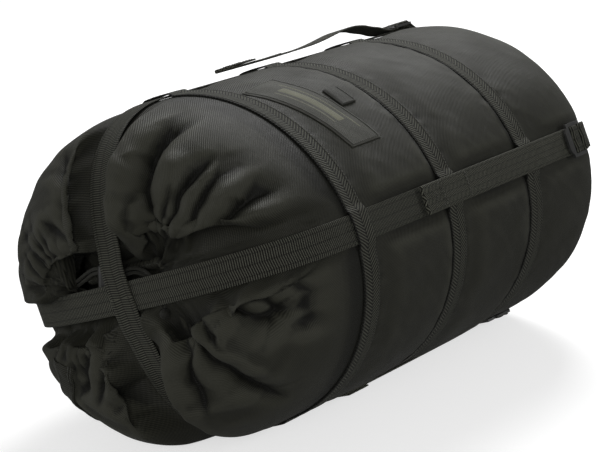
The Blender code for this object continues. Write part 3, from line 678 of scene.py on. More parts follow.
def mouth_points():
    """The mouth before it settles, and how far in to the hem each row lies, from 0 to 1."""
    lean = np.linspace(0.0, 1.0, 110)
    q = (1.0 - np.cos(lean * math.pi / 2) ** 0.8)[:, None]
    q[-1] = 1.0
    angle = ANGLES[None, :]
    u = angle / 360.0
    sway = 3.0 * smooth(q * 1.3) * ripple(u, q, 10, 3, 31) + 1.5 * smooth(q * 1.3) * ripple(u, q, 24, 5, 32)
    swayed = np.radians(angle + sway * (1 - smooth((q - 0.8) / 0.2)))
    hem_y, hem_z = hem_point(angle, HEM_TUBE + 0.0015)
    over = smooth((0.006 - hem_y) / 0.020)
    hem_y, hem_z = hem_point(angle, mix(HEM_TUBE + 0.0015, -0.0040, over))
    y = mix(HALF_W * np.cos(swayed), hem_y, q)
    z = mix(HALF_H * np.sin(swayed), hem_z, q)
    inward = smooth((q - 0.80) / 0.20) ** 2.0
    depth = mix(mouth_depth(y, z), -HEM_X + 0.0075 * over, inward)
    points = np.stack([FRONT_X - depth, y, AXIS + z], -1)
    normal = outward(points)
    push = np.zeros(points.shape[:2])
    my, mz = y * 1000, z * 1000
    wander = 3.0 * ripple(u, q, 18, 8, 41), 3.0 * ripple(u, q, 18, 8, 42)
    for height, width, line in FOLDS:
        gap, share = to_line(my + wander[0], mz + wander[1], line)
        taper = smooth(np.minimum(share / 0.12 + 0.5, (1.0 - share) / 0.30))
        x = gap / width
        shape = 1.35 * groove(x) if height > 0 else np.exp(-x * x)
        push -= height / 1000 * shape * taper
    # Gathers beside the hem, the fullness round it, the roll that leans over it, and soft lumps
    taut = smooth((np.cos(np.radians(angle - 40.0)) - 0.3) / 0.5) * (1 - smooth((q - 0.50) / 0.25))
    push -= 0.0085 * gathers(u, q, 23, 0.16, 0.50, 0.0046, 51) * (1 - 0.7 * taut)
    push -= 0.0055 * gathers(u, q, 46, 0.42, 0.68, 0.0024, 52)
    push += 0.0060 * smooth((q - 0.30) / 0.45)
    push += 0.0090 * smooth((q - 0.60) / 0.2) * (1 - smooth((q - 0.94) / 0.06)) * smooth((0.012 - y) / 0.02)
    soft = 0.0022 * ripple(u + 0.3 * q, q, 14, 6, 61) + 0.0012 * ripple(u - 0.3 * q, q, 36, 12, 62)
    push += soft * smooth(q / 0.12) * (1 - smooth((q - 0.8) / 0.2))
    # The straps hold the fabric flat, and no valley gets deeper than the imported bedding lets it
    strap = 1.0 - smooth((to_strap(y, z) - 0.0125) / 0.007)
    limit = np.where(push > 0, 1.0 - strap, 1.0 - 0.4 * strap)
    deepest = mix(-0.024, -0.010, smooth(0.5 + y / 0.03) * (1.0 - smooth((q - 0.62) / 0.2)))
    push = np.maximum(push, deepest) * limit * smooth(q / 0.05)
    return points + normal * push[..., None], q


def settle(points, rest, pins, frames, pressure, bending, cap):
    """The fabric's shape after a cloth simulation: it starts at points and wants the lengths of rest."""
    made = new_object("settling", points, grid_faces(*points.shape[:2], flip=True), NYLON)
    made.shape_key_add(name="start")
    key = made.shape_key_add(name="rest")
    key.data.foreach_set("co", rest.reshape(-1).astype(np.float32))
    group = made.vertex_groups.new(name="held")
    weights = np.round(pins.reshape(-1), 2)
    for level in np.unique(weights):
        if level > 0:
            group.add(np.nonzero(weights == level)[0].tolist(), float(level), "REPLACE")
    step = made.modifiers.new("cloth", "CLOTH")
    assign(step.settings, quality=6, mass=0.25, air_damping=2.0, tension_stiffness=12.0,
           compression_stiffness=12.0, shear_stiffness=4.0, bending_stiffness=bending, use_pressure=True,
           uniform_pressure_force=pressure, vertex_group_mass="held", rest_shape_key=key)
    step.settings.effector_weights.gravity = 0.0
    assign(step.collision_settings, use_collision=False, use_self_collision=False)
    assign(step.point_cache, frame_start=1, frame_end=frames)
    scene = bpy.context.scene
    for number in range(1, frames + 1):
        scene.frame_set(number)
    done = made.evaluated_get(bpy.context.evaluated_depsgraph_get()).to_mesh()
    out = np.zeros(points.size, np.float32)
    done.vertices.foreach_get("co", out)
    bpy.data.objects.remove(made)
    scene.frame_set(1)
    move = out.reshape(points.shape).astype(float) - points
    size = np.linalg.norm(move, axis=-1, keepdims=True)
    return points + move * np.minimum(1.0, cap / np.maximum(size, 1e-9)) * (1 - pins[..., None])


def ring_lengths(points):
    """Length round each row of a closed grid, and from row to row."""
    around = np.linalg.norm(np.roll(points, -1, 1) - points, axis=-1).sum(1)
    down = np.linalg.norm(np.diff(points, axis=0), axis=-1).mean(1)
    return around, down


def rest_shape(points, slack, grow):
    """A turned surface with the fabric's own lengths: at each row as far round as the cloth was cut."""
    around, down = ring_lengths(points)
    length = np.minimum(ROUND * 1.02, around * slack)
    radius = length / (2 * math.pi)
    fall = np.sqrt(np.maximum((down * grow) ** 2 - np.diff(radius) ** 2, (0.3 * down) ** 2))
    x = np.concatenate([[0.0], np.cumsum(fall)])
    turn = np.arange(points.shape[1]) * 2 * math.pi / points.shape[1]
    return spread(x[:, None], radius[:, None] * np.cos(turn), radius[:, None] * np.sin(turn))


def mouth_cloth():
    """The gathered mouth: settled by a cloth simulation, with a collar that reaches under the front band."""
    points, q = mouth_points()
    held = np.maximum(1 - smooth(q / 0.03), smooth((q - 0.93) / 0.05)) * np.ones(points.shape[:2])
    near = to_strap(points[..., 1], points[..., 2] - AXIS)
    held = np.maximum(held, 1.0 - smooth((near - 0.012) / 0.007))
    coarse = points[:, ::2]
    moved = settle(coarse, rest_shape(coarse, 1.25, 1.04), held[:, ::2], 14, 1.2, 0.1, 0.009) - coarse
    between = (moved + np.roll(moved, -1, 1)) / 2
    points = points + np.stack([moved, between], 2).reshape(points.shape)
    collar = body(np.linspace(SEAMS[0] - SEAM_GAP, 0.002, 5)[:, None], ANGLES[None, :])
    points = np.concatenate([collar, points])
    # Painted shade deep in the middle round the hem, and where the cloth runs in under the front band, collar
    # included.
    deep = 0.95 * smooth((q - 0.84) / 0.14) + 0.9 * (1 - smooth(q / 0.006))
    deep = np.concatenate([np.full((len(collar), 1), 0.9), deep])
    points[..., 2] = np.maximum(points[..., 2], 0.0)
    run = np.concatenate([[0.0], np.cumsum(ring_lengths(points)[1])])[:, None]
    near = to_strap(points[..., 1], points[..., 2] - AXIS)
    # Next to the straps the painted fold shading fades out.
    cloth("mouth_cloth", "mouth_panel", points, spread(ANGLES[None, :] / 360.0 * ROUND, -run), flip=True,
          deep=deep, ease=0.8 * (1.0 - smooth((near - 0.015) / 0.025)))
    return points


MOUTH = mouth_cloth()


def bundle():
    """What is packed inside: soft rolled bedding, lumpy, and clear of the fabric's folds."""
    steps = np.linspace(0.0, 1.0, 70)[:, None]
    angle = ANGLES[None, ::4]
    u = angle / 360.0
    station = mix(-0.084, 0.400, steps)
    end = np.minimum(1.0, np.abs(steps - 0.5) * 2.0)
    shrink = np.maximum(0.02, (1.0 - end ** 5.0) ** 0.45)
    front = np.maximum(0.0, -station) / 0.105
    radius = (0.94 - 0.30 * np.minimum(front, 1.0) ** 2) * shrink * (1 + 0.012 * ripple(u, steps, 9, 12, 91))
    turn = np.radians(angle)
    points = spread(FRONT_X + station, HALF_W * radius * np.cos(turn), AXIS + HALF_H * radius * np.sin(turn))
    # Painted shade in the bundle's hollows and a painted highlight on its lumps, from its own shape.
    made = closed_tube("packed_bundle", points, NYLON, spread(u * ROUND, station), hollow(points))
    put(made, "sack", ["packed_contents"])


# ---------------------------------------------------------------- webbing

def resample(path, step):
    """Points every step along a path, by straight runs."""
    path = np.asarray(path, float)
    run = run_length(path)
    at = np.linspace(0, run[-1], max(2, int(round(run[-1] / step)) + 1))
    return np.stack([np.interp(at, run, path[:, k]) for k in range(path.shape[1])], -1)


def smooth_path(path, step):
    """A path with its corners rounded, resampled."""
    path = np.asarray(path, float)
    for _ in range(2):
        first, last = path[:1], path[-1:]
        a, b = path[:-1] * 0.75 + path[1:] * 0.25, path[:-1] * 0.25 + path[1:] * 0.75
        path = np.concatenate([first, np.stack([a, b], 1).reshape(-1, path.shape[1]), last])
    return resample(path, step)


# Section of webbing with rounded edges, as shares of its width and thickness
SECTION = np.array([
    (-0.5, 0.0), (-0.485, 0.4), (-0.45, 0.5), (-0.3, 0.5), (-0.1, 0.5), (0.1, 0.5), (0.3, 0.5), (0.45, 0.5),
    (0.485, 0.4), (0.5, 0.0), (0.485, -0.4), (0.45, -0.5), (0.2, -0.5), (-0.2, -0.5), (-0.45, -0.5),
    (-0.485, -0.4)])


def ribbon(name, centres, outs, wide, look, thick=STRAP_THICK):
    """Webbing swept along a path, with its outward directions and one width direction."""
    across, height = SECTION[:, 0] * STRAP_WIDTH, SECTION[:, 1] * thick
    points = centres[:, None] + wide * across[None, :, None] + outs[:, None] * height[None, :, None]
    return closed_tube(name, points, look, spread(run_length(centres)[:, None], across[None, :]))


def side_ways(path):
    """Unit directions across a flat path, to its left."""
    run = np.gradient(path, axis=0)
    return unit(np.stack([-run[:, 1], run[:, 0]], -1))


def in_plane(pairs, out):
    """Vectors from pairs of a distance along the sack and one outward."""
    return pairs[:, :1] * ALONG + pairs[:, 1:] * out


def strap_run(name, leg, path, look, **more):
    """Webbing in the plane of one strap; its path is (station, height) pairs."""
    out, wide = strap_ways(LEGS[leg])
    centres = body(0.0, LEGS[leg]) + in_plane(path, out)
    return ribbon(name, centres, in_plane(side_ways(path), out), wide, look, **more)


def lid_halves(name, legs, crossing, node):
    """A strap over the mouth, as two halves that meet at the crossing."""
    for leg in legs:
        turn = math.radians(LEGS[leg])
        spoke = np.array([0.0, HALF_W * math.cos(turn), HALF_H * math.sin(turn)])
        reach_full = np.linalg.norm(spoke)
        out = spoke / reach_full
        sweep = np.linspace(0, math.pi / 2, 60)
        power = cross_power(LEGS[leg])
        station = -CROSS_DEPTH * np.sin(sweep) ** (2 / power)
        reach = np.cos(sweep).clip(0) ** (2 / power) * reach_full
        path = resample([(LOCK_STATION + 0.0102, reach_full), *zip(station, reach)], 0.0022)
        ways = side_ways(path)
        ways = ways * np.sign((ways * (path - np.array([0.05, 0.0]))).sum(1, keepdims=True))
        lift = GAP + STRAP_THICK / 2 + crossing * (1.0 - smooth((path[:, 1] - 0.022) / 0.020))
        outs = in_plane(ways, out)
        centres = np.array([FRONT_X, 0, AXIS]) + in_plane(path, out) + outs * lift[:, None]
        made = ribbon(f"{name}_{leg}", centres, outs, strap_ways(LEGS[leg])[1], STRAP)
        foot = body(0.0, LEGS[leg])[1:]
        put(made, ("lid", "sack"), [node], start=(FRONT_X + 0.01, *foot))


lid_halves("strap_over", ("top", "bottom"), STRAP_THICK + 2 * GAP, "lid_strap_over")
lid_halves("strap_under", ("side", "far"), 0.0, "lid_strap_under")


def arc(centre, radius, start, end, steps):
    """Points of an arc between two angles in degrees."""
    turns = np.radians(np.linspace(start, end, steps + 1))
    return [(centre[0] + radius * math.cos(t), centre[1] + radius * math.sin(t)) for t in turns]


def tail_rise(leg, station):
    """How far the top leg's loose end stands off the sack."""
    if leg != "top":
        return 0.0 * station
    t = (LOCK_STATION - station) / (LOCK_STATION - LOOP_START)
    bow = 0.0095 * np.exp(-((t - 0.28) / 0.22) ** 2) * smooth(t / 0.12)
    return bow + 0.0042 * smooth(t / 0.7)


def leg_webbing(leg):
    """Everything of webbing on one leg: wrap, tail, pull loop and anchor."""
    lock = LOCK_STATION
    floor = GAP + STRAP_THICK / 2
    over = LOCK_LOW + LOCK_THICK + GAP + STRAP_THICK / 2
    wrap = [(lock + 0.0110, floor), (lock + 0.0146, floor + 0.0003), (lock + 0.0163, 0.0034),
            (lock + 0.0163, over - 0.0016), (lock + 0.0148, over), (lock + 0.0084, over),
            (lock + 0.0067, over - 0.0016), (lock + 0.0067, 0.0044), (lock + 0.0050, TAIL_LOW)]
    made = strap_run("wrap_" + leg, leg, resample(wrap, 0.0006), STRAP, thick=0.0015)
    put(made, "lock_" + leg, ["strap_wrap_" + leg])

    rear = BAND_STATIONS["rear_band"] + BAND_WIDTH
    tail = [(lock + 0.0038, TAIL_LOW), (rear + 0.022, TAIL_LOW), (rear + 0.010, TAIL_HIGH),
            (LOOP_START + GAP, TAIL_HIGH)]
    tail = smooth_path(tail, 0.0022)
    tail[:, 1] += tail_rise(leg, tail[:, 0])
    made = strap_run("tail_" + leg, leg, tail, STRAP_FINE)
    spot = body(LOOP_START, LEGS[leg])[1:]
    put(made, ("tail_" + leg, "sack"), ["strap_tail_" + leg],
        start=(FRONT_X + LOOP_START + 0.012, *spot))

    bend = 0.001
    loop = [(LOOP_START, TAIL_HIGH)]
    loop += arc((LOOP_END + bend + STRAP_THICK / 2, TAIL_HIGH + bend), bend, 270, 90, 8)
    loop += [(LOOP_START, TAIL_HIGH + 2 * bend)]
    loop = resample(loop, 0.0008)
    loop[:, 1] += tail_rise(leg, loop[:, 0])
    made = strap_run("loop_" + leg, leg, loop, STRAP_FINE)
    put(made, "tail_" + leg, ["pull_loop_" + leg])

    spoke = np.linalg.norm(body(0.0, LEGS[leg])[1:] - np.array([0, AXIS]))
    bar = (lock + 0.02175, LOCK_LOW + LOCK_THICK / 2)
    radius = 0.00195 + STRAP_THICK / 2
    stations = np.linspace(0.402, 0.375, 8)
    low = 0.0005 + STRAP_THICK / 2
    high = low + STRAP_THICK + 0.0003

    def sewn(values, lift):
        return [(s, lift - (1.0 - float(back_scale(np.array(s)))) * spoke) for s in values]

    path = sewn(stations, low) + arc(bar, radius, 290, 70, 12) + sewn(stations[::-1], high)
    made = strap_run("anchor_" + leg, leg, resample(path, 0.0010), STRAP)
    put(made, "sack", ["anchor_strap_" + leg])


for leg_name in LEGS:
    leg_webbing(leg_name)


def band(name):
    """Webbing sewn round the sack, arched over each strap, with a painted shadow along its front edge."""
    angles = np.arange(720) * 0.5
    lift = mix(GAP + STRAP_THICK + 0.0008, GAP, smooth((strap_gap(angles) - 5.0) / 2.6))
    start = BAND_STATIONS[name]
    across, height = SECTION[:, 0] * BAND_WIDTH, (SECTION[:, 1] + 0.5) * 0.0015
    across[1] -= 0.0002
    across[2] += 0.0002
    stations = (start + BAND_WIDTH / 2 + across)[:, None]
    points = body(stations, angles[None, :], lift[None, :] + height[:, None]).transpose(1, 0, 2)
    rows, columns = points.shape[:2]
    uv = spread((angles / 360 * ROUND)[:, None], across[None, :])
    made = new_object(name + "_webbing", points, grid_faces(rows, columns, looped=True), BAND, uv, 60)
    made.data.materials.append(BAND_EDGE_SHADE)
    # The front edge's faces take the darkened copy: a painted shadow line where the swollen cloth meets the
    # band.
    front = {0, 1, 2, columns - 1}
    for face in made.data.polygons:
        if all(v % columns in front for v in face.vertices):
            face.material_index = 1
    put(flip_out(made), "sack", [name])


for band_name in BAND_STATIONS:
    band(band_name)


bundle()


# ---------------------------------------------------------------- stitching and sewn-on pieces

def stitches(name, lines, bodies, pitch, length=0.0021, radius=0.00030):
    """Rows of thread stitches as one piece; each line is its points and their outward directions."""
    points, faces = [], []
    profile = ((-0.5, 0.25, -0.6), (-0.25, 1.0, 0.35), (0.25, 1.0, 0.35), (0.5, 0.25, -0.6))
    for spots, outs in lines:
        spots, outs = np.asarray(spots), np.broadcast_to(np.asarray(outs), np.shape(spots))
        joined = resample(np.concatenate([spots, outs], 1), pitch)
        for start, stop in zip(joined, joined[1:]):
            out = unit(start[3:] + stop[3:])
            way = unit(stop[:3] - start[:3])
            side = np.cross(out, way)
            middle = (start[:3] + stop[:3]) / 2
            first = len(points)
            for along, thick, rise in profile:
                for a, b in ((1, 0), (0, 1), (-1, 0), (0, -1)):
                    points.append(middle + way * (along * length) + side * (a * thick * radius)
                                  + out * ((b * thick + rise) * radius))
            for ring in range(3):
                for k in range(4):
                    here, after = first + ring * 4 + k, first + ring * 4 + (k + 1) % 4
                    faces.append((here, after, after + 4, here + 4))
            faces.append((first + 3, first + 2, first + 1, first))
            faces.append((first + 12, first + 13, first + 14, first + 15))
    put(flip_out(new_object(name, points, faces, THREAD)), bodies)


def on_cloth(station, angle, lift):
    """Points over the tube's swollen fabric."""
    return body(station, angle, tube_lift(station, angle) + tube_wrinkles(station, angle) + lift)


def slab(name, top, bottom, look, replaced=()):
    """A thin closed piece between two open grids of points."""
    rows, columns = top.shape[:2]
    count = rows * columns
    faces = grid_faces(rows, columns, False)
    faces += [tuple(v + count for v in face[::-1]) for face in faces]
    rim = list(range(columns)) + [i * columns + columns - 1 for i in range(1, rows)]
    rim += [(rows - 1) * columns + j for j in range(columns - 2, -1, -1)]
    rim += [i * columns for i in range(rows - 2, 0, -1)]
    for a, b in zip(rim, rim[1:] + rim[:1]):
        faces.append((b, a, a + count, b + count))
    uv = spread(run_length(top[:, columns // 2])[:, None], run_length(top[rows // 2])[None, :])
    made = new_object(name, np.concatenate([top.reshape(-1, 3), bottom.reshape(-1, 3)]), faces, look,
                      np.concatenate([uv.reshape(-1, 2)] * 2), 50, np.full(2 * count, 0.5))
    put(flip_out(made), "sack", replaced)


PATCH_ANGLES = (93.7, 132.8)
PATCH_STATIONS = (0.027, 0.050)
PATCH_WIDTH = 0.0405


def patch_grid(i, j):
    """Station and angle of a place on the patch, both shares from 0 to 1."""
    return mix(*PATCH_STATIONS, j) + i * PATCH_WIDTH, mix(*PATCH_ANGLES, j) + 0 * i


def patch_part(name, rows, columns, low, high, look, replaced=(), thick=0.0007, floor=0.0004):
    """A piece of badge cloth between two corners given as shares of the patch."""
    i = np.linspace(low[0], high[0], rows)[:, None]
    j = np.linspace(low[1], high[1], columns)[None, :]
    station, angle = patch_grid(i, j)
    edge = np.minimum(np.minimum(i - low[0], high[0] - i) / 0.03, np.minimum(j - low[1], high[1] - j) / 0.012)
    round_off = np.sqrt(np.clip(edge, 0.0, 1.0)) * 0.6 + 0.4
    top = on_cloth(station, angle, floor + thick * round_off)
    slab(name, top, on_cloth(station, angle, floor), look, replaced)


def label():
    """The patch with its stitched border, plain bars in place of a mark, and the blank folded tag."""
    patch_part("label_patch_cloth", 30, 70, (0, 0), (1, 1), PATCH, ["label_patch"])
    for bar, rows, columns, low, high, thick in (("wide", 8, 40, (0.40, 0.20), (0.62, 0.74), 0.0005),
                                                 ("upper", 5, 50, (0.72, 0.12), (0.76, 0.86), 0.0004),
                                                 ("lower", 5, 40, (0.28, 0.20), (0.31, 0.74), 0.0004)):
        patch_part("label_bar_" + bar, rows, columns, low, high, EMBROIDERY, thick=thick, floor=0.0009)
    corners = [(0.06, 0.02), (0.06, 0.98), (0.94, 0.98), (0.94, 0.02), (0.06, 0.02)]
    border = resample(corners, 0.02)
    station, angle = patch_grid(border[:, 0], border[:, 1])
    line = on_cloth(station, angle, 0.0012)
    up = unit(line - on_cloth(station, angle, -0.004))
    stitches("label_stitching", [(line, up)], "sack", pitch=0.0026, length=0.0019)
    i, j = np.linspace(0, 1, 12)[:, None], np.linspace(0, 1, 14)[None, :]
    station, angle = 0.0835 + 0.0205 * i + 0 * j, mix(109.0, 117.0, j) + 0 * i
    fold = 0.0013 * np.sqrt(np.clip(np.minimum(i / 0.10, (1 - i) / 0.5), 0, 1)) + 0.0004
    slab("size_tag_cloth", on_cloth(station, angle, fold + 0.0008), on_cloth(station, angle, 0.0004), TAG,
         ["size_tag"])
    row = on_cloth(np.full(12, 0.101), np.linspace(109.4, 116.6, 12), 0.0022)
    up = unit(row - np.array([FRONT_X + 0.101, 0, AXIS]))
    stitches("size_tag_stitching", [(row, up)], "sack", pitch=0.0024)


label()


def band_stitching():
    """Two rows of thread along each band's edges, left out where a strap runs over or under the band."""
    for name, start in BAND_STATIONS.items():
        lines = []
        for leg in LEGS.values():
            angles = np.linspace(leg + 7.5, leg + 82.5, 76)
            turn = np.radians(angles)
            for inset in (0.0022, BAND_WIDTH - 0.0022):
                line = body(start + inset, angles, GAP + 0.0015)
                lines.append((line, np.stack([0 * turn, np.cos(turn), np.sin(turn)], -1)))
        stitches(name + "_stitching", lines, "sack", pitch=0.0034, length=0.0025, radius=0.00035)


band_stitching()


def strap_stitching(leg):
    """The sewn end of a tail with its box of stitches, and its bar-tack."""
    out, wide = strap_ways(LEGS[leg])
    foot = body(0.0, LEGS[leg])

    def spot(station, side, height):
        height = height + tail_rise(leg, station)
        return foot + station * ALONG + wide * (side * STRAP_WIDTH) + out * height

    top = TAIL_HIGH + 0.0030
    near, far, edge = LOOP_START - 0.005, LOOP_START - 0.020, 0.42
    lines = [[spot(station, side, top) for side in (-edge, edge)]
             for station in (LOOP_START - 0.002, near, far)]
    lines.append([spot(near, -edge, top), spot(far, edge, top)])
    lines.append([spot(near, edge, top), spot(far, -edge, top)])
    lines = [(line, out) for line in lines]
    stitches("loop_stitching_" + leg, lines, "tail_" + leg, pitch=0.0026, length=0.0020)
    top = TAIL_HIGH + STRAP_THICK / 2 + 0.0001
    tack = [spot(0.163 + 0.0012 * (k % 2), -0.42 + 0.84 * k / 40, top) for k in range(41)]
    stitches("tail_tack_" + leg, [(tack, out)], "tail_" + leg, pitch=0.0012, length=0.0013, radius=0.00035)


for leg_name in LEGS:
    strap_stitching(leg_name)


def mouth_strip():
    """The stitched strip over the long seam, from the hem out to the front band."""
    centre = (LEGS["bottom"] + LEGS["far"]) / 2
    normal = outward(MOUTH)
    first, last = 14, len(MOUTH) - 22
    half, columns = 0.0095, 13
    tops, bottoms, outs = [], [], []
    spot = int(centre / 360 * COLUMNS) % COLUMNS
    for row in range(first, last):
        ring = MOUTH[row]
        step = np.linalg.norm(ring[spot + 8] - ring[spot - 8]) / 16
        at = centre / 360 * COLUMNS + np.linspace(-half, half, columns) / step
        low = np.floor(at).astype(int)
        share = (at - low)[:, None]
        low, high = low % COLUMNS, (low + 1) % COLUMNS
        points = mix(ring[low], ring[high], share)
        ways = unit(mix(normal[row, low], normal[row, high], share))
        tops.append(points + ways * 0.0019)
        bottoms.append(points + ways * 0.0006)
        outs.append(ways)
    tops, bottoms, outs = np.array(tops), np.array(bottoms), np.array(outs)
    for _ in range(6):  # evens out the folds it crosses
        for grid in (tops, bottoms):
            grid[1:-1] = grid[1:-1] * 0.5 + (grid[2:] + grid[:-2]) * 0.25
    slab("seam_binding_strip", tops, bottoms, NYLON, ["seam_binding"])
    lines = [(tops[:, k] + outs[:, k] * 0.0001, outs[:, k]) for k in (1, 2, columns - 3, columns - 2)]
    box = [(8, 1), (20, columns - 2), (20, 1), (8, columns - 2), (8, 1)]
    for (i, k), (m, n) in zip(box, box[1:]):
        shares = np.linspace(0, 1, 9)
        spots = [(int(round(mix(i, m, t))), int(round(mix(k, n, t)))) for t in shares]
        lines.append((np.array([tops[a, b] for a, b in spots]), np.array([outs[a, b] for a, b in spots])))
    stitches("seam_binding_stitching", lines, "sack", pitch=0.0028, length=0.0020, radius=0.00035)


mouth_strip()


def hem_tunnel():
    """The gathered hem round the drawcord, puckered along its length, with its row of stitches."""
    angles = np.linspace(39.5, 307.5, 420)
    across, up = hem_point(angles, 0.0)
    line = spread(FRONT_X + HEM_X, across, AXIS + up)
    beside = np.cross(unit(np.gradient(line, axis=0)), ALONG)
    sides = 18
    turns = 2 * math.pi * np.arange(sides) / sides
    run = run_length(line)
    random = np.random.RandomState(77)
    phase = np.interp(run, np.linspace(0, run[-1], 40), np.cumsum(random.uniform(0.6, 1.4, 40)) * 2.6)
    pucker = np.abs(np.sin(phase * math.pi / 2))[:, None]
    radius = HEM_TUBE * (0.80 + 0.24 * pucker) + 0.0002 * np.sin(3 * turns)[None, :]
    points = (line[:, None] + beside[:, None] * (radius * np.cos(turns))[..., None]
              + ALONG * (radius * np.sin(turns))[..., None])
    uv = spread(run[:, None] * 1.8, (turns * HEM_TUBE)[None, :])
    # Painted shade where the hem is pinched, and a slight painted highlight on its swells.
    painted_fold_shading = np.broadcast_to(0.95 - 0.65 * pucker, points.shape[:2])
    put(closed_tube("mouth_hem_tunnel", points, NYLON, uv, painted_fold_shading), "sack", ["mouth_hem"])
    rows = [(line - ALONG * radius[:, :1], -ALONG)]
    stitches("mouth_hem_stitching", rows, "sack", pitch=0.0028, length=0.0020)


hem_tunnel()


# ---------------------------------------------------------------- cords

def smooth_route(points, steps):
    """A smooth curve through the points."""
    points = [np.asarray(p, float) for p in points]
    ends = [points[0]] + points + [points[-1]]
    route = []
    for before, start, stop, after in zip(ends, ends[1:], ends[2:], ends[3:]):
        for k in range(steps):
            t = k / steps
            bend = 2 * before - 5 * start + 4 * stop - after
            twist = 3 * start - before - 3 * stop + after
            route.append(0.5 * (2 * start + (stop - before) * t + bend * t * t + twist * t ** 3))
    return np.array(route + [points[-1]])


def tube_mesh(name, route, radius, look, sides=14):
    """A round cord along a route, with closed ends, and the even line of points it follows."""
    route = resample(route, radius * 0.7)
    way = unit(np.gradient(route, axis=0))
    side = unit(np.cross(way[0], [0.3, 0.5, 0.8]))
    turns = 2 * math.pi * np.arange(sides) / sides
    rings = []
    for spot, forward in zip(route, way):
        side = unit(side - forward * (side @ forward))
        up = np.cross(forward, side)
        rings.append(spot + np.cos(turns)[:, None] * side * radius + np.sin(turns)[:, None] * up * radius)
    uv = spread(run_length(route)[:, None], turns[None, :] * radius)
    return closed_tube(name, np.array(rings), look, uv), route


def mouth_spot(depth, across, up):
    """A point from millimetres: ahead of the front band, and across and up from the axis."""
    return np.array([FRONT_X - depth / 1000, across / 1000, AXIS + up / 1000])


# Where the two strands run side by side to the knot, and how each leaves the hem (see mouth_spot)
CORD_RUN = [(103.8, 61, -4.0), (104.6, 56, -0.5), (104.6, 50, 4.3), (104.6, 43, 9.8), (104.6, 36, 13.2),
            (104.6, 30, 13.6), (104.6, 22, 13.6), (104.6, 15, 14.0), (105, 7, 17.0), (105, -4, 21.5),
            (104.6, -15, 21.0), (104.4, -25, 15.5), (104.6, -32.5, 6.5), (109, -38, -2.5)]
CORD_STARTS = {
    "upper": [(93.0, 53.6, -1.4), (93.3, 57.7, -2.2), (95.3, 61.8, -2.9), (99.3, 64, -3.2)],
    "lower": [(93.0, 55.8, -13.4), (93.6, 59.4, -11.9), (96.2, 62.3, -10.2), (100.2, 62.6, -8.0)]}


def cord_tails():
    """The two loose strands of the drawcord, from the hem to their knot."""
    middle = [mouth_spot(*spot) for spot in CORD_RUN]
    for part, side in (("upper", 1.0), ("lower", -1.0)):
        route = [mouth_spot(*spot) for spot in CORD_STARTS[part]]
        for i, spot in enumerate(middle):
            way = unit(middle[min(i + 1, len(middle) - 1)] - middle[max(i - 1, 0)])
            route.append(spot + unit(np.cross(way, ALONG)) * (side * CORD_PITCH))
        made, line = tube_mesh("cord_" + part, smooth_route(route, 8), CORD_RADIUS, BRAID)
        put(made, "sack", ["drawcord_tail_" + part])


cord_tails()


# ---------------------------------------------------------------- CAD pieces that stay, in their materials

def dress(node, look, bevel=0.0):
    """Gives a CAD piece its material and softens its edges."""
    made = NODES[node]
    made.data.materials.clear()
    made.data.materials.append(look)
    if bevel:
        assign(made.modifiers.new("edges", "BEVEL"), width=bevel, segments=3, limit_method="ANGLE",
               angle_limit=math.radians(35))


def lock_spring():
    """The coil under the plunger."""
    low, high = (np.array(corner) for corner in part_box("cord_lock_spring"))
    wire, coils, press = 0.00035, 5.5, 0.004
    centre, height = (low + high) / 2, high[2] - low[2]
    reach = min(high[0] - low[0], high[1] - low[1]) / 2 - wire
    turn = np.linspace(0, coils * 2 * math.pi, int(coils * 24))
    rise = np.linspace(low[2] + wire, high[2] - wire, len(turn))
    route = spread(centre[0] + reach * np.cos(turn), centre[1] + reach * np.sin(turn), rise)
    made, _ = tube_mesh("cord_lock_coil", route, wire, WIRE, 8)
    put(made, "sack", ["cord_lock_spring"])
    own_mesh(made)


lock_spring()
for leg_name in LEGS:
    dress("ladder_lock_" + leg_name, ACETAL, 0.0006)
dress("cord_lock_barrel", ACETAL, 0.0008)
dress("cord_lock_plunger", ACETAL, 0.0006)
dress("drawcord", BRAID)
dress("drawcord_knot", BRAID)


# ---------------------------------------------------------------- stage

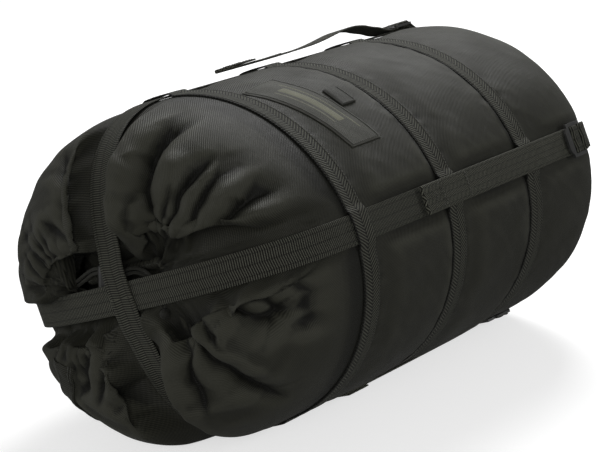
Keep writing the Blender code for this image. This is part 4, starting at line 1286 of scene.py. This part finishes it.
def aim(made, place, target):
    """Adds a light or camera at a place, turned to its target."""
    made.location = place
    made.rotation_euler = (Vector(target) - made.location).to_track_quat("-Z", "Y").to_euler()
    bpy.context.scene.collection.objects.link(made)


def stage():
    """A white floor and backdrop, four softboxes, and the photograph's camera."""
    scene = bpy.context.scene
    floor_look = bpy.data.materials.new("floor")
    floor_look.use_nodes = True
    shader = floor_look.node_tree.nodes["Principled BSDF"]
    for key, value in (("Base Color", (0.50, 0.50, 0.50, 1.0)), ("Roughness", 0.9),
                       ("Emission Color", (1.0, 1.0, 1.0, 1.0)), ("Emission Strength", 0.62)):
        shader.inputs[key].default_value = value
    half = 12.0
    corners = [(-half, -half, 0), (half, -half, 0), (half, half, 0), (-half, half, 0)]
    floor = new_object("floor", corners, [(0, 1, 2, 3)], floor_look)
    floor.location.z = -0.0005
    assign(floor, visible_diffuse=False, visible_glossy=False)
    world = bpy.data.worlds.new("studio")
    world.use_nodes = True
    sky = world.node_tree.nodes["Background"].inputs
    sky["Color"].default_value = (1.0, 1.0, 1.0, 1.0)
    sky["Strength"].default_value = 0.22
    scene.world = world
    for name, place, target, size, power in (
            ("top_softbox", (1.20, 0.60, 1.65), (0.0, 0.0, 0.15), 0.9, 44.0),
            ("left_softbox", (-1.6, 2.0, 0.4), (-0.1, 0.0, 0.1), 1.2, 24.0),
            ("right_fill", (0.9, -2.2, 1.0), (0.1, 0.0, 0.1), 1.0, 18.0),
            ("front_fill", (-2.0, -1.2, 0.7), (-0.1, 0.0, 0.1), 1.0, 25.0)):
        light = assign(bpy.data.lights.new(name, "AREA"), size=size, energy=power)
        aim(bpy.data.objects.new(name, light), place, target)
    scene.view_settings.view_transform = "Standard"
    turn, rise, far = math.radians(-53.5), math.radians(17.0), 1.785
    target = Vector((FRONT_X + 0.1295, 0.0, AXIS))
    back = Vector((math.sin(turn) * math.cos(rise), -math.cos(turn) * math.cos(rise), math.sin(rise)))
    lens = assign(bpy.data.cameras.new("camera"), lens=118.4, sensor_width=36.0)
    camera = bpy.data.objects.new("camera", lens)
    aim(camera, target + back * far, target)
    scene.camera = camera


stage()
